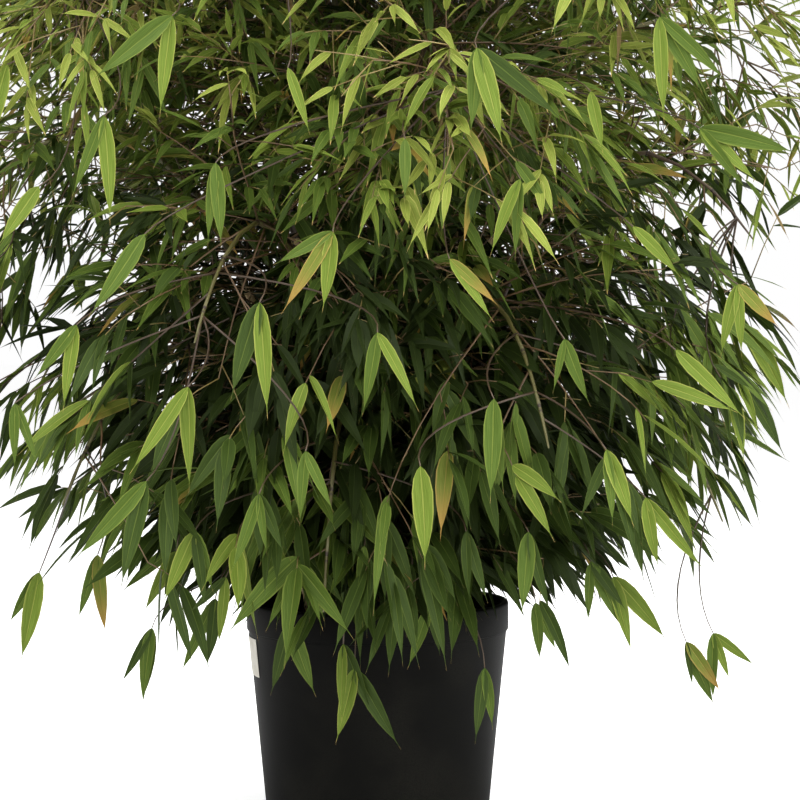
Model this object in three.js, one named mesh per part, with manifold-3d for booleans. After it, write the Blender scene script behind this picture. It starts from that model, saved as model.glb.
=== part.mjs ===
// A clump-forming garden bamboo growing in a round black nursery pot, in millimetres, +Z up.
// The origin is the middle of the pot's flat underside. -Y is the front.
import * as THREE from "three";
import { mergeVertices } from "three/addons/utils/BufferGeometryUtils.js";
import Module from "manifold-3d";

const wasm = await Module();
wasm.setup();

// ---------------------------------------------------------------- driving dimensions

const GAP = 0.3; // clearance between pieces that touch
const FACETS = 32; // flats round the pot
const SPIRAL = 137.5; // degrees from one cane or twig to the next

const POT = {
  height: 262,
  rimRadius: 146, // outside of the rim band
  bandHeight: 32,
  bandStep: 2, // how far the band stands out from the wall below it
  baseRadius: 121.5,
  wall: 3,
  lip: 4, // inward turn of the rim
  edge: 1.5, // chamfer on the rim and the base
  floor: 4,
  drains: 6,
  drainRadius: 7,
  drainSides: 8,
  drainCircle: 82,
};

const SOIL = { belowRim: 24 };

// A blank paper sticker under the band, on the left side.
const LABEL = { height: 42, belowBand: 6, thick: 0.4, turn: 183, halfTurn: 20 };

// The crown's reach: a rounded dome about the axis, widest at its middle height, with slow lobes round it.
const CROWN = { middle: 690, above: 775, below: 620, radius: 540, power: 3, lobe: 0.06 };

// Canes leave the soil in a spiral, the tall ones in the middle. Their tips lie on a smaller dome inside the
// crown's, spread evenly from its top (level 1) down to its skirt (levels below 0).
const CLUMP = {
  count: 27,
  first: 292, // turn of the tallest cane
  turnWander: 8,
  highest: 1,
  lowest: -0.8,
  inset: 0.82, // size of the smaller dome
  tipWander: 20,
  innerFoot: 8, // where the tallest cane leaves the soil
  outerFoot: 100, // and the lowest
};

// A cane first stands up and then arches over. The two middle points of its curve stand at these shares of
// its reach, and above the soil and above its tip by a length that changes with the height of its tip.
const CANE = {
  footRadius: 5.2,
  sides: 4,
  steps: 4,
  sway: 14,
  lean: 0.1,
  rise: 210,
  riseShare: 0.46,
  aim: 0.44,
  droop: 345,
  droopShare: -0.24,
  enter: 0.3, // share of the curve where the bare cane enters its foliage
};

const STEM = { tipRadius: 2, sides: 4, steps: 5 };

const TWIG = {
  spacing: 112, // along the stem
  tries: 20,
  shrink: 0.96, // from one try to the next
  sides: 3,
  length: 190,
  lengthWander: 0.25,
  turnWander: 40,
  radius: 1.9,
  tipRadius: 1.3,
  forward: 0.7, // how far it leans along its stem
  sag: 0.4, // how far it bends down at its elbow
  leastLeaves: 3,
};

const LEAF = {
  length: 210,
  width: 52,
  thick: 3.2,
  broadest: 0.34, // share of the length where the blade is broadest
  neck: 0.1, // and where its ridge is highest
  shares: [0.85, 0.68, 0.51, 0.34, 0.17], // of the twig's length, where the side leaves grow
  tries: 8,
  shrink: 0.06,
  sizeWander: 0.12,
  fan: 44, // degrees from the twig
  fanWander: 0.3,
  swing: 14, // wider with each try
  fall: 0.45, // how far it hangs
  fallWander: 0.7,
  roll: 35,
  clear: 0.15, // share of the length near the root that may pass close to other leaves
  apart: 19,
};

// Foliage keeps these margins inside its own mass's space and from canes and pot. The space hangs below its
// stem.
const SPACE = { margin: 1, limbMargin: 2.5, hang: 45 };

// ---------------------------------------------------------------- materials

const paint = (color, roughness) => new THREE.MeshStandardMaterial({ color, roughness, metalness: 0 });
const MATERIALS = {
  pot: paint(0x232426, 0.55),
  soil: paint(0x2c2018, 0.95),
  label: paint(0xdedcd2, 0.6),
  cane: paint(0x6b6a34, 0.5),
  leaf: paint(0x3f6a24, 0.5),
};

// ---------------------------------------------------------------- helpers

const radians = THREE.MathUtils.degToRad;
const upright = new THREE.Vector3(0, 0, 1);
const polar = (radius, turn, z) =>
  new THREE.Vector3(radius * Math.cos(radians(turn)), radius * Math.sin(radians(turn)), z);

// Evenly spaced shares from one to another, both ends included.
const stations = (from, to, steps) =>
  Array.from({ length: steps + 1 }, (_, i) => from + ((to - from) * i) / steps);

// A repeatable stream of numbers from 0 to 1 (the minimal standard generator), and the same from -1 to 1.
function seeded(seed) {
  let state = seed;
  const next = () => {
    state = (state * 48271) % 2147483647;
    return state / 2147483647;
  };
  stations(1, 4, 3).forEach(next);
  return { next, wander: () => 2 * next() - 1 };
}

// A closed surface from corners and faces.
function surface(corners, faces) {
  const position = corners.flatMap((corner) => corner.toArray());
  return new THREE.BufferGeometry()
    .setAttribute("position", new THREE.Float32BufferAttribute(position, 3))
    .setIndex(faces.flat());
}

function solidOf(geometry) {
  const bare = geometry.clone();
  bare.deleteAttribute("normal");
  bare.deleteAttribute("uv");
  const merged = mergeVertices(bare, 1e-3);
  return new wasm.Manifold(
    new wasm.Mesh({
      numProp: 3,
      vertProperties: new Float32Array(merged.attributes.position.array),
      triVerts: new Uint32Array(merged.index.array),
    }),
  );
}

// The main body of a joined solid, with any hollow sealed inside it filled and any loose scrap left out.
function largestBody(solid) {
  const bodies = solid.decompose();
  return bodies.reduce((main, body) => (body.volume() > main.volume() ? body : main));
}

function meshOf(solid, name, material) {
  const { vertProperties, triVerts } = solid.getMesh();
  const geometry = new THREE.BufferGeometry()
    .setAttribute("position", new THREE.BufferAttribute(new Float32Array(vertProperties), 3))
    .setIndex(new THREE.BufferAttribute(new Uint32Array(triVerts), 1));
  geometry.computeVertexNormals();
  const mesh = new THREE.Mesh(geometry, material);
  mesh.name = name;
  return mesh;
}

// A closed body of revolution about Z from [radius, z] points that run anticlockwise, outside first.
function turned(profile) {
  const points = profile.map(([radius, z]) => new THREE.Vector2(radius, z));
  return new THREE.LatheGeometry(points, FACETS).rotateX(Math.PI / 2);
}

// A closed skin over rings of corners, one after another. It ends flat, or in a point if one is given.
function skinOver(rings, point) {
  const sides = rings[0].length;
  const last = sides * (rings.length - 1);
  const corners = rings.flat();
  const faces = [];
  for (let a = 0; a < last; a++) {
    const b = (a + 1) % sides ? a + 1 : a + 1 - sides;
    faces.push([a, b, b + sides], [a, b + sides, a + sides]);
  }
  for (let k = 1; k < sides - 1; k++) {
    faces.push([0, k + 1, k]);
    if (!point) faces.push([last, last + k, last + k + 1]);
  }
  for (let k = 0; point && k < sides; k++) {
    faces.push([last + k, last + ((k + 1) % sides), corners.length]);
  }
  return surface(point ? [...corners, point] : corners, faces);
}

// The level direction square to a heading, or a fixed one where the heading stands nearly upright.
function acrossOf(heading) {
  const across = upright.clone().cross(heading);
  return across.length() < 0.1 ? new THREE.Vector3(1, 0, 0) : across.normalize();
}

// The rings of a tapering limb along a list of points, each square to the heading at its point.
function limbRings({ points, radii, headings }, sides) {
  const side = acrossOf(headings[0]);
  const normal = new THREE.Vector3();
  return points.map((point, i) => {
    side.addScaledVector(headings[i], -side.dot(headings[i])).normalize();
    normal.crossVectors(headings[i], side);
    return Array.from({ length: sides }, (_, k) => {
      const turn = (2 * Math.PI * k) / sides;
      const corner = point.clone().addScaledVector(side, radii[i] * Math.cos(turn));
      return corner.addScaledVector(normal, radii[i] * Math.sin(turn));
    });
  });
}

// The point and heading at a share of the way along a path of straight steps.
function alongPath(points, share) {
  const way = share * (points.length - 1);
  const step = Math.min(Math.floor(way), points.length - 2);
  const heading = points[step + 1].clone().sub(points[step]);
  const point = points[step].clone().addScaledVector(heading, way - step);
  return [point, heading.normalize()];
}

const line = new THREE.Line3();
const nearest = new THREE.Vector3();

// How far a point is from a path of straight steps, less the path's own radius there.
function distanceTo({ points, radii }, p) {
  let least = Infinity;
  for (let i = 1; i < points.length; i++) {
    line.set(points[i - 1], points[i]).closestPointToPoint(p, true, nearest);
    least = Math.min(least, nearest.distanceTo(p) - radii[i - 1]);
  }
  return least;
}

// ---------------------------------------------------------------- pot, soil and label

const bandFoot = POT.height - POT.bandHeight;
const soilTop = POT.height - SOIL.belowRim;
const wallSlope = (POT.rimRadius - POT.bandStep - POT.baseRadius) / bandFoot;
const wallAt = (z) => POT.baseRadius + wallSlope * z;

function makePot() {
  const { height, rimRadius, wall, lip, edge, floor } = POT;
  const shell = turned([
    [0, 0],
    [wallAt(0) - edge, 0],
    [wallAt(0), edge],
    [wallAt(bandFoot - edge), bandFoot - edge],
    [rimRadius - edge, bandFoot],
    [rimRadius, height - edge],
    [rimRadius - edge, height],
    [rimRadius - wall - lip, height],
    [rimRadius - wall - lip, height - wall],
    [rimRadius - wall - edge, height - wall],
    [rimRadius - wall - edge, bandFoot],
    [wallAt(bandFoot - edge) - wall, bandFoot - wall],
    [wallAt(floor) - wall, floor],
    [0, floor],
  ]);
  const drain = new THREE.CylinderGeometry(POT.drainRadius, POT.drainRadius, 3 * floor, POT.drainSides);
  let pot = solidOf(shell);
  for (let i = 0; i < POT.drains; i++) {
    const centre = polar(POT.drainCircle, (360 * i) / POT.drains, floor / 2);
    const hole = drain.clone().rotateX(Math.PI / 2).translate(...centre.toArray());
    pot = pot.subtract(solidOf(hole));
  }
  return meshOf(pot, "pot", MATERIALS.pot);
}

function makeSoil() {
  const { rimRadius, wall, edge, floor } = POT;
  const brim = rimRadius - wall - edge - GAP;
  const inside = (z) => wallAt(z) - wall - 2 * GAP;
  const body = turned([
    [0, floor + GAP],
    [inside(floor), floor + GAP],
    [inside(bandFoot - wall), bandFoot - wall],
    [brim, bandFoot + GAP],
    [brim, soilTop],
    [0, soilTop],
  ]);
  return meshOf(solidOf(body), "potting_soil", MATERIALS.soil);
}

function makeLabel() {
  const top = bandFoot - LABEL.belowBand;
  const foot = top - LABEL.height;
  const near = (z) => wallAt(z) + GAP;
  const far = (z) => near(z) + LABEL.thick;
  const ring = turned([
    [near(foot), foot],
    [far(foot), foot],
    [far(top), top],
    [near(top), top],
    [near(foot), foot],
  ]);
  const across = 2 * far(top) * Math.sin(radians(LABEL.halfTurn));
  const cutter = new THREE.BoxGeometry(POT.rimRadius, across, 2 * LABEL.height)
    .translate(POT.rimRadius, 0, (top + foot) / 2)
    .rotateZ(radians(LABEL.turn));
  return meshOf(solidOf(ring).intersect(solidOf(cutter)), "label", MATERIALS.label);
}

// ---------------------------------------------------------------- canes

// How far the crown reaches from its axis at a height and a turn (in radians).
function crownRadius(z, turn) {
  const share = (z - CROWN.middle) / (z > CROWN.middle ? CROWN.above : CROWN.below);
  if (Math.abs(share) >= 1) return 0;
  const lobes = 1 + CROWN.lobe * Math.sin(3 * turn + z / 300) * Math.cos(2 * turn - z / 220);
  return CROWN.radius * lobes * Math.sqrt(1 - Math.abs(share) ** CROWN.power);
}

// The curve of a cane from its foot on the soil to its tip, at a turn (in degrees).
function caneCurve(foot, reach, tip, turn, random) {
  const height = tip - soilTop;
  const side = polar(CANE.sway * random.wander(), turn + 90, 0);
  return new THREE.CubicBezierCurve3(
    polar(foot, turn, soilTop + GAP),
    polar(foot + CANE.lean * reach, turn, soilTop + CANE.rise + CANE.riseShare * height).add(side),
    polar(foot + CANE.aim * reach, turn, tip + CANE.droop + CANE.droopShare * height).sub(side),
    polar(reach, turn, tip),
  );
}

// The stretch of a cane's curve between two shares of it. A cane thins evenly from its foot to its very tip.
function stretch(curve, from, to, steps) {
  const shares = stations(from, to, steps);
  return {
    points: shares.map((share) => curve.getPoint(share)),
    radii: shares.map((share) => THREE.MathUtils.lerp(CANE.footRadius, STEM.tipRadius, share)),
    headings: shares.map((share) => curve.getTangent(share)),
  };
}

// A cane, cut flat on the soil, that ends where it enters its foliage, and the stem of that foliage, which
// goes on from there just clear of it. Its stream of numbers serves its foliage too.
function layOutCane(i) {
  const random = seeded(1000 + 37 * i);
  const share = (i + 0.5) / CLUMP.count;
  const turn = CLUMP.first + SPIRAL * i + CLUMP.turnWander * random.wander();
  const level = THREE.MathUtils.lerp(CLUMP.highest, CLUMP.lowest, share);
  const above = level * (level > 0 ? CROWN.above : CROWN.below);
  const tip = CROWN.middle + CLUMP.inset * above + CLUMP.tipWander * random.wander();
  const reach = CLUMP.inset * crownRadius(CROWN.middle + above, radians(turn));
  const foot = THREE.MathUtils.lerp(CLUMP.innerFoot, CLUMP.outerFoot, share);
  const curve = caneCurve(foot, reach, tip, turn, random);
  const bare = stretch(curve, 0, CANE.enter, CANE.steps);
  const stem = stretch(curve, CANE.enter, 1, STEM.steps);
  bare.headings[0].copy(upright);
  stem.points[0].addScaledVector(stem.headings[0], GAP);
  return { number: i + 1, random, bare, stem, length: curve.getLength() * (1 - CANE.enter), grown: [] };
}

const canes = Array.from({ length: CLUMP.count }, (_, i) => layOutCane(i));

function makeCane(cane) {
  const body = skinOver(limbRings(cane.bare, CANE.sides));
  return meshOf(solidOf(body), `cane_${cane.number}`, MATERIALS.cane);
}

// ---------------------------------------------------------------- foliage

const inCrown = (p) => Math.hypot(p.x, p.y) < crownRadius(p.z, Math.atan2(p.y, p.x));

// A mass's space holds the points nearer to its own stem than to any other. It hangs a little below the stem.
function inSpace(p, margin, cane) {
  const hung = p.clone().addScaledVector(upright, SPACE.hang);
  const own = distanceTo(cane.stem, hung);
  return canes.every((other) => other === cane || distanceTo(other.stem, hung) - own > 2 * margin);
}

function clearOfLimbs(p, margin) {
  const outside = p.z > POT.height + margin || Math.hypot(p.x, p.y) > POT.rimRadius + margin;
  return outside && canes.every((cane) => distanceTo(cane.bare, p) > margin);
}

// True if a straight blade or twig from a to b may grow there. It is this wide to each side at its broadest.
function mayGrow(a, b, halfWidth, cane) {
  return stations(0, 1, 6).every((share) => {
    const p = a.clone().lerp(b, share);
    const reach = halfWidth * Math.min(1, share / LEAF.broadest, (1 - share) / (1 - LEAF.broadest));
    return inCrown(p) && inSpace(p, SPACE.margin + reach, cane) && clearOfLimbs(p, SPACE.limbMargin + reach);
  });
}

// True if a straight piece would lie too close to a leaf or twig that the mass has already grown.
function crowded([a, b], cane) {
  const tests = stations(0, 1, 5).map((share) => a.clone().lerp(b, share));
  return cane.grown.some((other) => tests.some((p) => distanceTo(other, p) < LEAF.apart));
}

// The lie of a leaf on one side of a twig (1 or -1) or straight on (0), or null where none may grow. A mass's
// leaves keep apart, except near their roots.
function layLeaf(root, heading, side, cane) {
  const { next, wander } = cane.random;
  for (let attempt = 0; attempt < LEAF.tries; attempt++) {
    const size = (1 + LEAF.sizeWander * wander()) * (1 - LEAF.shrink * attempt);
    const turn = side * LEAF.fan * (1 + LEAF.fanWander * wander()) + LEAF.swing * attempt * wander();
    const along = heading.clone().applyAxisAngle(upright, radians(turn));
    along.z -= LEAF.fall * (1 + LEAF.fallWander * wander());
    along.normalize();
    const roll = radians(LEAF.roll * (2 * next() - 1));
    const tip = root.clone().addScaledVector(along, size * LEAF.length);
    const points = [root.clone().lerp(tip, LEAF.clear), tip];
    if (crowded(points, cane) || !mayGrow(...points, (size * LEAF.width) / 2, cane)) continue;
    cane.grown.push({ points, radii: [0] });
    const across = acrossOf(along).applyAxisAngle(along, roll);
    return { root, tip, along, across, up: along.clone().cross(across), size };
  }
  return null;
}

// The point at a share of a leaf's length, moved towards one edge and up from its face.
function leafPoint({ root, along, across, up, size }, share, aside, rise) {
  const point = root.clone().addScaledVector(along, share * size * LEAF.length);
  return point.addScaledVector(across, (aside * size * LEAF.width) / 2).addScaledVector(up, rise);
}

// A lance-shaped blade, flat below, with a ridge on top that is highest near its root.
function leafBlade(leaf) {
  const corners = [
    leaf.root,
    leafPoint(leaf, LEAF.broadest, 1, 0),
    leafPoint(leaf, LEAF.broadest, -1, 0),
    leafPoint(leaf, LEAF.neck, 0, LEAF.thick),
    leaf.tip,
  ];
  const [root, left, right, ridge, tip] = corners.keys();
  return surface(corners, [
    [root, left, right],
    [root, ridge, left],
    [root, right, ridge],
    [tip, right, left],
    [tip, left, ridge],
    [tip, ridge, right],
  ]);
}

// A limb that runs on into a leaf at its tip. At its broadest the leaf has a corner for each side of the limb,
// in turn an edge, the ridge, the other edge and, of four, the keel.
function leafyLimb(path, leaf, sides) {
  const rise = LEAF.thick / (sides - 2);
  const waist = [
    leafPoint(leaf, LEAF.broadest, 1, 0),
    leafPoint(leaf, LEAF.broadest, 0, rise),
    leafPoint(leaf, LEAF.broadest, -1, 0),
    leafPoint(leaf, LEAF.broadest, 0, -rise),
  ];
  return skinOver([...limbRings(path, sides), waist.slice(0, sides)], leaf.tip);
}

// A twig that leaves the stem to one side, hangs from its elbow and carries leaves to each side in turn and
// one at its tip, or null where it may not grow.
function growTwig(root, tangent, turn, length, cane) {
  const heading = acrossOf(tangent).applyAxisAngle(tangent, radians(turn));
  heading.addScaledVector(tangent, TWIG.forward).normalize();
  const bent = heading.clone().addScaledVector(upright, -TWIG.sag).normalize();
  const elbow = root.clone().addScaledVector(heading, length / 2);
  const tip = elbow.clone().addScaledVector(bent, length / 2);
  if (crowded([elbow, tip], cane)) return null;
  if (!mayGrow(root.clone().lerp(elbow, LEAF.broadest), elbow, TWIG.radius, cane)) return null;
  if (!mayGrow(elbow, tip, TWIG.radius, cane)) return null;
  const last = layLeaf(tip, bent, 0, cane);
  if (!last) return null;
  const points = [root, elbow, tip];
  const sides = LEAF.shares.map((_, k) => 1 - 2 * (k % 2));
  const leaves = LEAF.shares.map((share, k) => layLeaf(...alongPath(points, share), sides[k], cane));
  const grown = leaves.filter((leaf) => leaf !== null);
  if (grown.length < TWIG.leastLeaves) {
    cane.grown.length -= grown.length + 1;
    return null;
  }
  cane.grown.push({ points: [elbow, tip], radii: [0] });
  const radii = [TWIG.radius, TWIG.radius, TWIG.tipRadius];
  const path = { points, radii, headings: [heading, bent, bent] };
  return [leafyLimb(path, last, TWIG.sides), ...grown.map(leafBlade)];
}

// The stem that carries on from a cane's end into a leaf, with leafy twigs in a spiral.
function makeMass(cane) {
  const { stem, random } = cane;
  const last = layLeaf(...alongPath(stem.points, 1), 0, cane);
  const pieces = [last ? leafyLimb(stem, last, STEM.sides) : skinOver(limbRings(stem, STEM.sides))];
  const count = Math.round(cane.length / TWIG.spacing);
  for (let i = 0; i < count; i++) {
    const [root, tangent] = alongPath(stem.points, (i + 0.6) / count);
    let twig = null;
    for (let attempt = 0; attempt < TWIG.tries && !twig; attempt++) {
      const turn = SPIRAL * (i + attempt) + TWIG.turnWander * random.next();
      const length = TWIG.length * TWIG.shrink ** attempt * (1 + TWIG.lengthWander * random.wander());
      twig = growTwig(root, tangent, turn, length, cane);
    }
    if (twig) pieces.push(...twig);
  }
  const joined = wasm.Manifold.union(pieces.map(solidOf));
  return meshOf(largestBody(joined), `foliage_${cane.number}`, MATERIALS.leaf);
}

// ---------------------------------------------------------------- the whole plant

const plant = new THREE.Group();
plant.name = "potted_bamboo";
plant.add(makePot(), makeSoil(), makeLabel());
for (const cane of canes) {
  plant.add(makeCane(cane), makeMass(cane));
}

export default plant;
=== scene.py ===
"""A clump-forming garden bamboo in a round black nursery pot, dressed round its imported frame.

Lengths are in metres and +Z is up. The origin is the middle of the pot's flat underside, and -Y is the front.
"""

import sys

import logging
import math
from dataclasses import dataclass, field
from enum import Enum
from functools import cache

import bpy
import numpy as np
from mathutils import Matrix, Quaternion, Vector


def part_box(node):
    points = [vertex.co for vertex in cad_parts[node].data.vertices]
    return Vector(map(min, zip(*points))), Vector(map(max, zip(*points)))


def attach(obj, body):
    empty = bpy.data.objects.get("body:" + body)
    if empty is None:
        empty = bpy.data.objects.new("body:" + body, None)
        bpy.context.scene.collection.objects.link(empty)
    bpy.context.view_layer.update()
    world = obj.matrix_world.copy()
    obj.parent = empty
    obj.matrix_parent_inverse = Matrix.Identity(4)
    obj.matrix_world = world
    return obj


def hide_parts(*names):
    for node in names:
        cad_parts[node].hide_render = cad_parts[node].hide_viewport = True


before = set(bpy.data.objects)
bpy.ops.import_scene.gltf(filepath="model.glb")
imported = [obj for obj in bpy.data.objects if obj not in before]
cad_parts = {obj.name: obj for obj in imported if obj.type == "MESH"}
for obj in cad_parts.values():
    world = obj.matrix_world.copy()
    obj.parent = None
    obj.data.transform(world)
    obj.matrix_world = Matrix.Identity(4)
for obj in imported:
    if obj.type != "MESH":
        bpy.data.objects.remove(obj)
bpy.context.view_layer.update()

log = logging.getLogger("potted_bamboo")

UP = Vector((0.0, 0.0, 1.0))
GOLDEN_PART = 0.618034  # spreads things evenly, however many there are
SPIRAL = 137.5  # degrees from one cane, branch or leafy twig to the next
SLANT = (0.123, 0.456, 0.881)  # a direction that no limb quite follows, which turns its rings
DROOP_POWER = 2.2  # how late along its length a leaf bends down
MOST_TRIANGLES = 190_000  # in one joined piece
BAKE_MAP = "OFBake"  # the UV map that every pattern along a leaf or a cane reads


# ---------------------------------------------------------------- numbers and directions


class Stream:
    """A repeatable stream of random numbers (the minimal standard generator)."""

    def __init__(self, seed: int) -> None:
        """Starts the stream.

        Args:
            seed: Any whole number above 0.
        """
        self.state = seed
        for _ in range(4):
            self.next()

    def next(self) -> float:
        """Returns a number from 0 to 1."""
        self.state = (self.state * 48271) % 2147483647
        return self.state / 2147483647

    def wander(self) -> float:
        """Returns a number from -1 to 1."""
        return 2 * self.next() - 1

    def between(self, low: float, high: float) -> float:
        """Returns a number from low to high."""
        return low + (high - low) * self.next()


def mix(start: float, end: float, share: float) -> float:
    """Returns the number at a share of the way from start to end."""
    return start + (end - start) * share


def ease(value: float, low: float, high: float) -> float:
    """Returns 0 at or below low, 1 at or above high, and a smooth rise between them."""
    share = min(1.0, max(0.0, (value - low) / (high - low)))
    return share * share * (3 - 2 * share)


def polar(radius: float, turn: float, height: float) -> Vector:
    """Returns the point at a radius, a turn in degrees and a height."""
    angle = math.radians(turn)
    return Vector((radius * math.cos(angle), radius * math.sin(angle), height))


def turned(way: Vector, axis: Vector, degrees: float) -> Vector:
    """Returns a direction turned about an axis."""
    return Quaternion(axis, math.radians(degrees)) @ way


def level_side(way: Vector) -> Vector:
    """Returns the level direction square to a heading, or +X where it stands nearly upright."""
    side = UP.cross(way)
    return Vector((1.0, 0.0, 0.0)) if side.length < 0.1 else side.normalized()


def outward(point: Vector) -> Vector:
    """Returns the level direction from the axis to a point."""
    flat = Vector((point.x, point.y, 0.0))
    return flat.normalized() if flat.length > 1e-6 else Vector((1.0, 0.0, 0.0))


# ---------------------------------------------------------------- node boards


class Board:
    """A node tree with short ways to place and join nodes."""

    def __init__(self, tree: bpy.types.NodeTree) -> None:
        """Wraps a node tree.

        Args:
            tree: The tree of a material, a world or a node group.
        """
        self.tree = tree

    @property
    def shader(self) -> bpy.types.Node:
        """Returns the Principled BSDF of a material's board."""
        return self.tree.nodes["Principled BSDF"]

    def preset(self, **values: object) -> None:
        """Sets the shader's own sockets, with _ for each space in their names."""
        for name, value in values.items():
            self.shader.inputs[name.replace("_", " ")].default_value = value

    def node(self, kind: str, **settings: object) -> bpy.types.Node:
        """Adds a node.

        Args:
            kind: The node's type name.
            **settings: Its properties, such as operation or blend_type.

        Returns:
            The new node.
        """
        made = self.tree.nodes.new(kind)
        for name, value in settings.items():
            setattr(made, name, value)
        return made

    def feed(self, socket: bpy.types.NodeSocket, value: object) -> None:
        """Sets a socket to a value, or links it to another node's output.

        Args:
            socket: The input socket.
            value: A number, a tuple or an output socket.
        """
        if isinstance(value, bpy.types.NodeSocket):
            self.tree.links.new(value, socket)
        else:
            socket.default_value = value

    def maths(self, operation: str, *values: object, clamp: bool = False) -> bpy.types.NodeSocket:
        """Adds a Math node on one to three values.

        Args:
            operation: The node's operation, such as MULTIPLY.
            *values: Numbers or output sockets.
            clamp: Whether the result is kept between 0 and 1.

        Returns:
            The node's output.
        """
        made = self.node("ShaderNodeMath", operation=operation, use_clamp=clamp)
        for socket, value in zip(made.inputs, values):
            self.feed(socket, value)
        return made.outputs[0]

    def rise(self, value: object, low: float, high: float) -> bpy.types.NodeSocket:
        """Adds a smooth rise from 0 at low to 1 at high, or a fall where low is the larger.

        Args:
            value: An output socket.
            low: Where the rise starts.
            high: Where it ends.

        Returns:
            The mask.
        """
        made = self.node("ShaderNodeMapRange", interpolation_type="SMOOTHSTEP")
        self.feed(made.inputs["Value"], value)
        ends = (low, high, 0.0, 1.0) if low < high else (high, low, 1.0, 0.0)
        for name, end in zip(("From Min", "From Max", "To Min", "To Max"), ends):
            made.inputs[name].default_value = end
        return made.outputs["Result"]

    def blend(self, share: object, first: object, second: object) -> bpy.types.NodeSocket:
        """Adds a colour mix.

        Args:
            share: How much of the second colour shows.
            first: A colour or an output socket.
            second: A colour or an output socket.

        Returns:
            The mixed colour.
        """
        made = self.node("ShaderNodeMix", data_type="RGBA")
        colours = [socket for socket in made.inputs if socket.type == "RGBA"]
        self.feed(made.inputs[0], share)
        self.feed(colours[0], first)
        self.feed(colours[1], second)
        return next(socket for socket in made.outputs if socket.type == "RGBA")

    def noise(self, vector: object, scale: object, detail: float) -> bpy.types.NodeSocket:
        """Adds a noise texture.

        Args:
            vector: The coordinates.
            scale: Its scale, a number or an output socket.
            detail: Its octaves.

        Returns:
            Its value, about 0.5 on average.
        """
        made = self.node("ShaderNodeTexNoise")
        self.feed(made.inputs["Vector"], vector)
        self.feed(made.inputs["Scale"], scale)
        made.inputs["Detail"].default_value = detail
        return made.outputs[0]

    def group(self, tree: bpy.types.NodeTree, **values: object) -> bpy.types.Node:
        """Places a node group.

        Args:
            tree: The group.
            **values: Its inputs, with _ for each space in their names.

        Returns:
            The group node.
        """
        made = self.node("ShaderNodeGroup", node_tree=tree)
        for name, value in values.items():
            self.feed(made.inputs[name.replace("_", " ")], value)
        return made


def colour(red: int, green: int, blue: int) -> tuple[float, float, float, float]:
    """Turns a screen colour into the linear colour that sockets take.

    Args:
        red: Its red, in steps of 1/255.
        green: Its green.
        blue: Its blue.

    Returns:
        The colour, opaque.
    """

    def linear(step: int) -> float:
        """Returns one channel as linear light."""
        value = step / 255
        return value / 12.92 if value <= 0.04045 else ((value + 0.055) / 1.055) ** 2.4

    return (linear(red), linear(green), linear(blue), 1.0)


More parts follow.
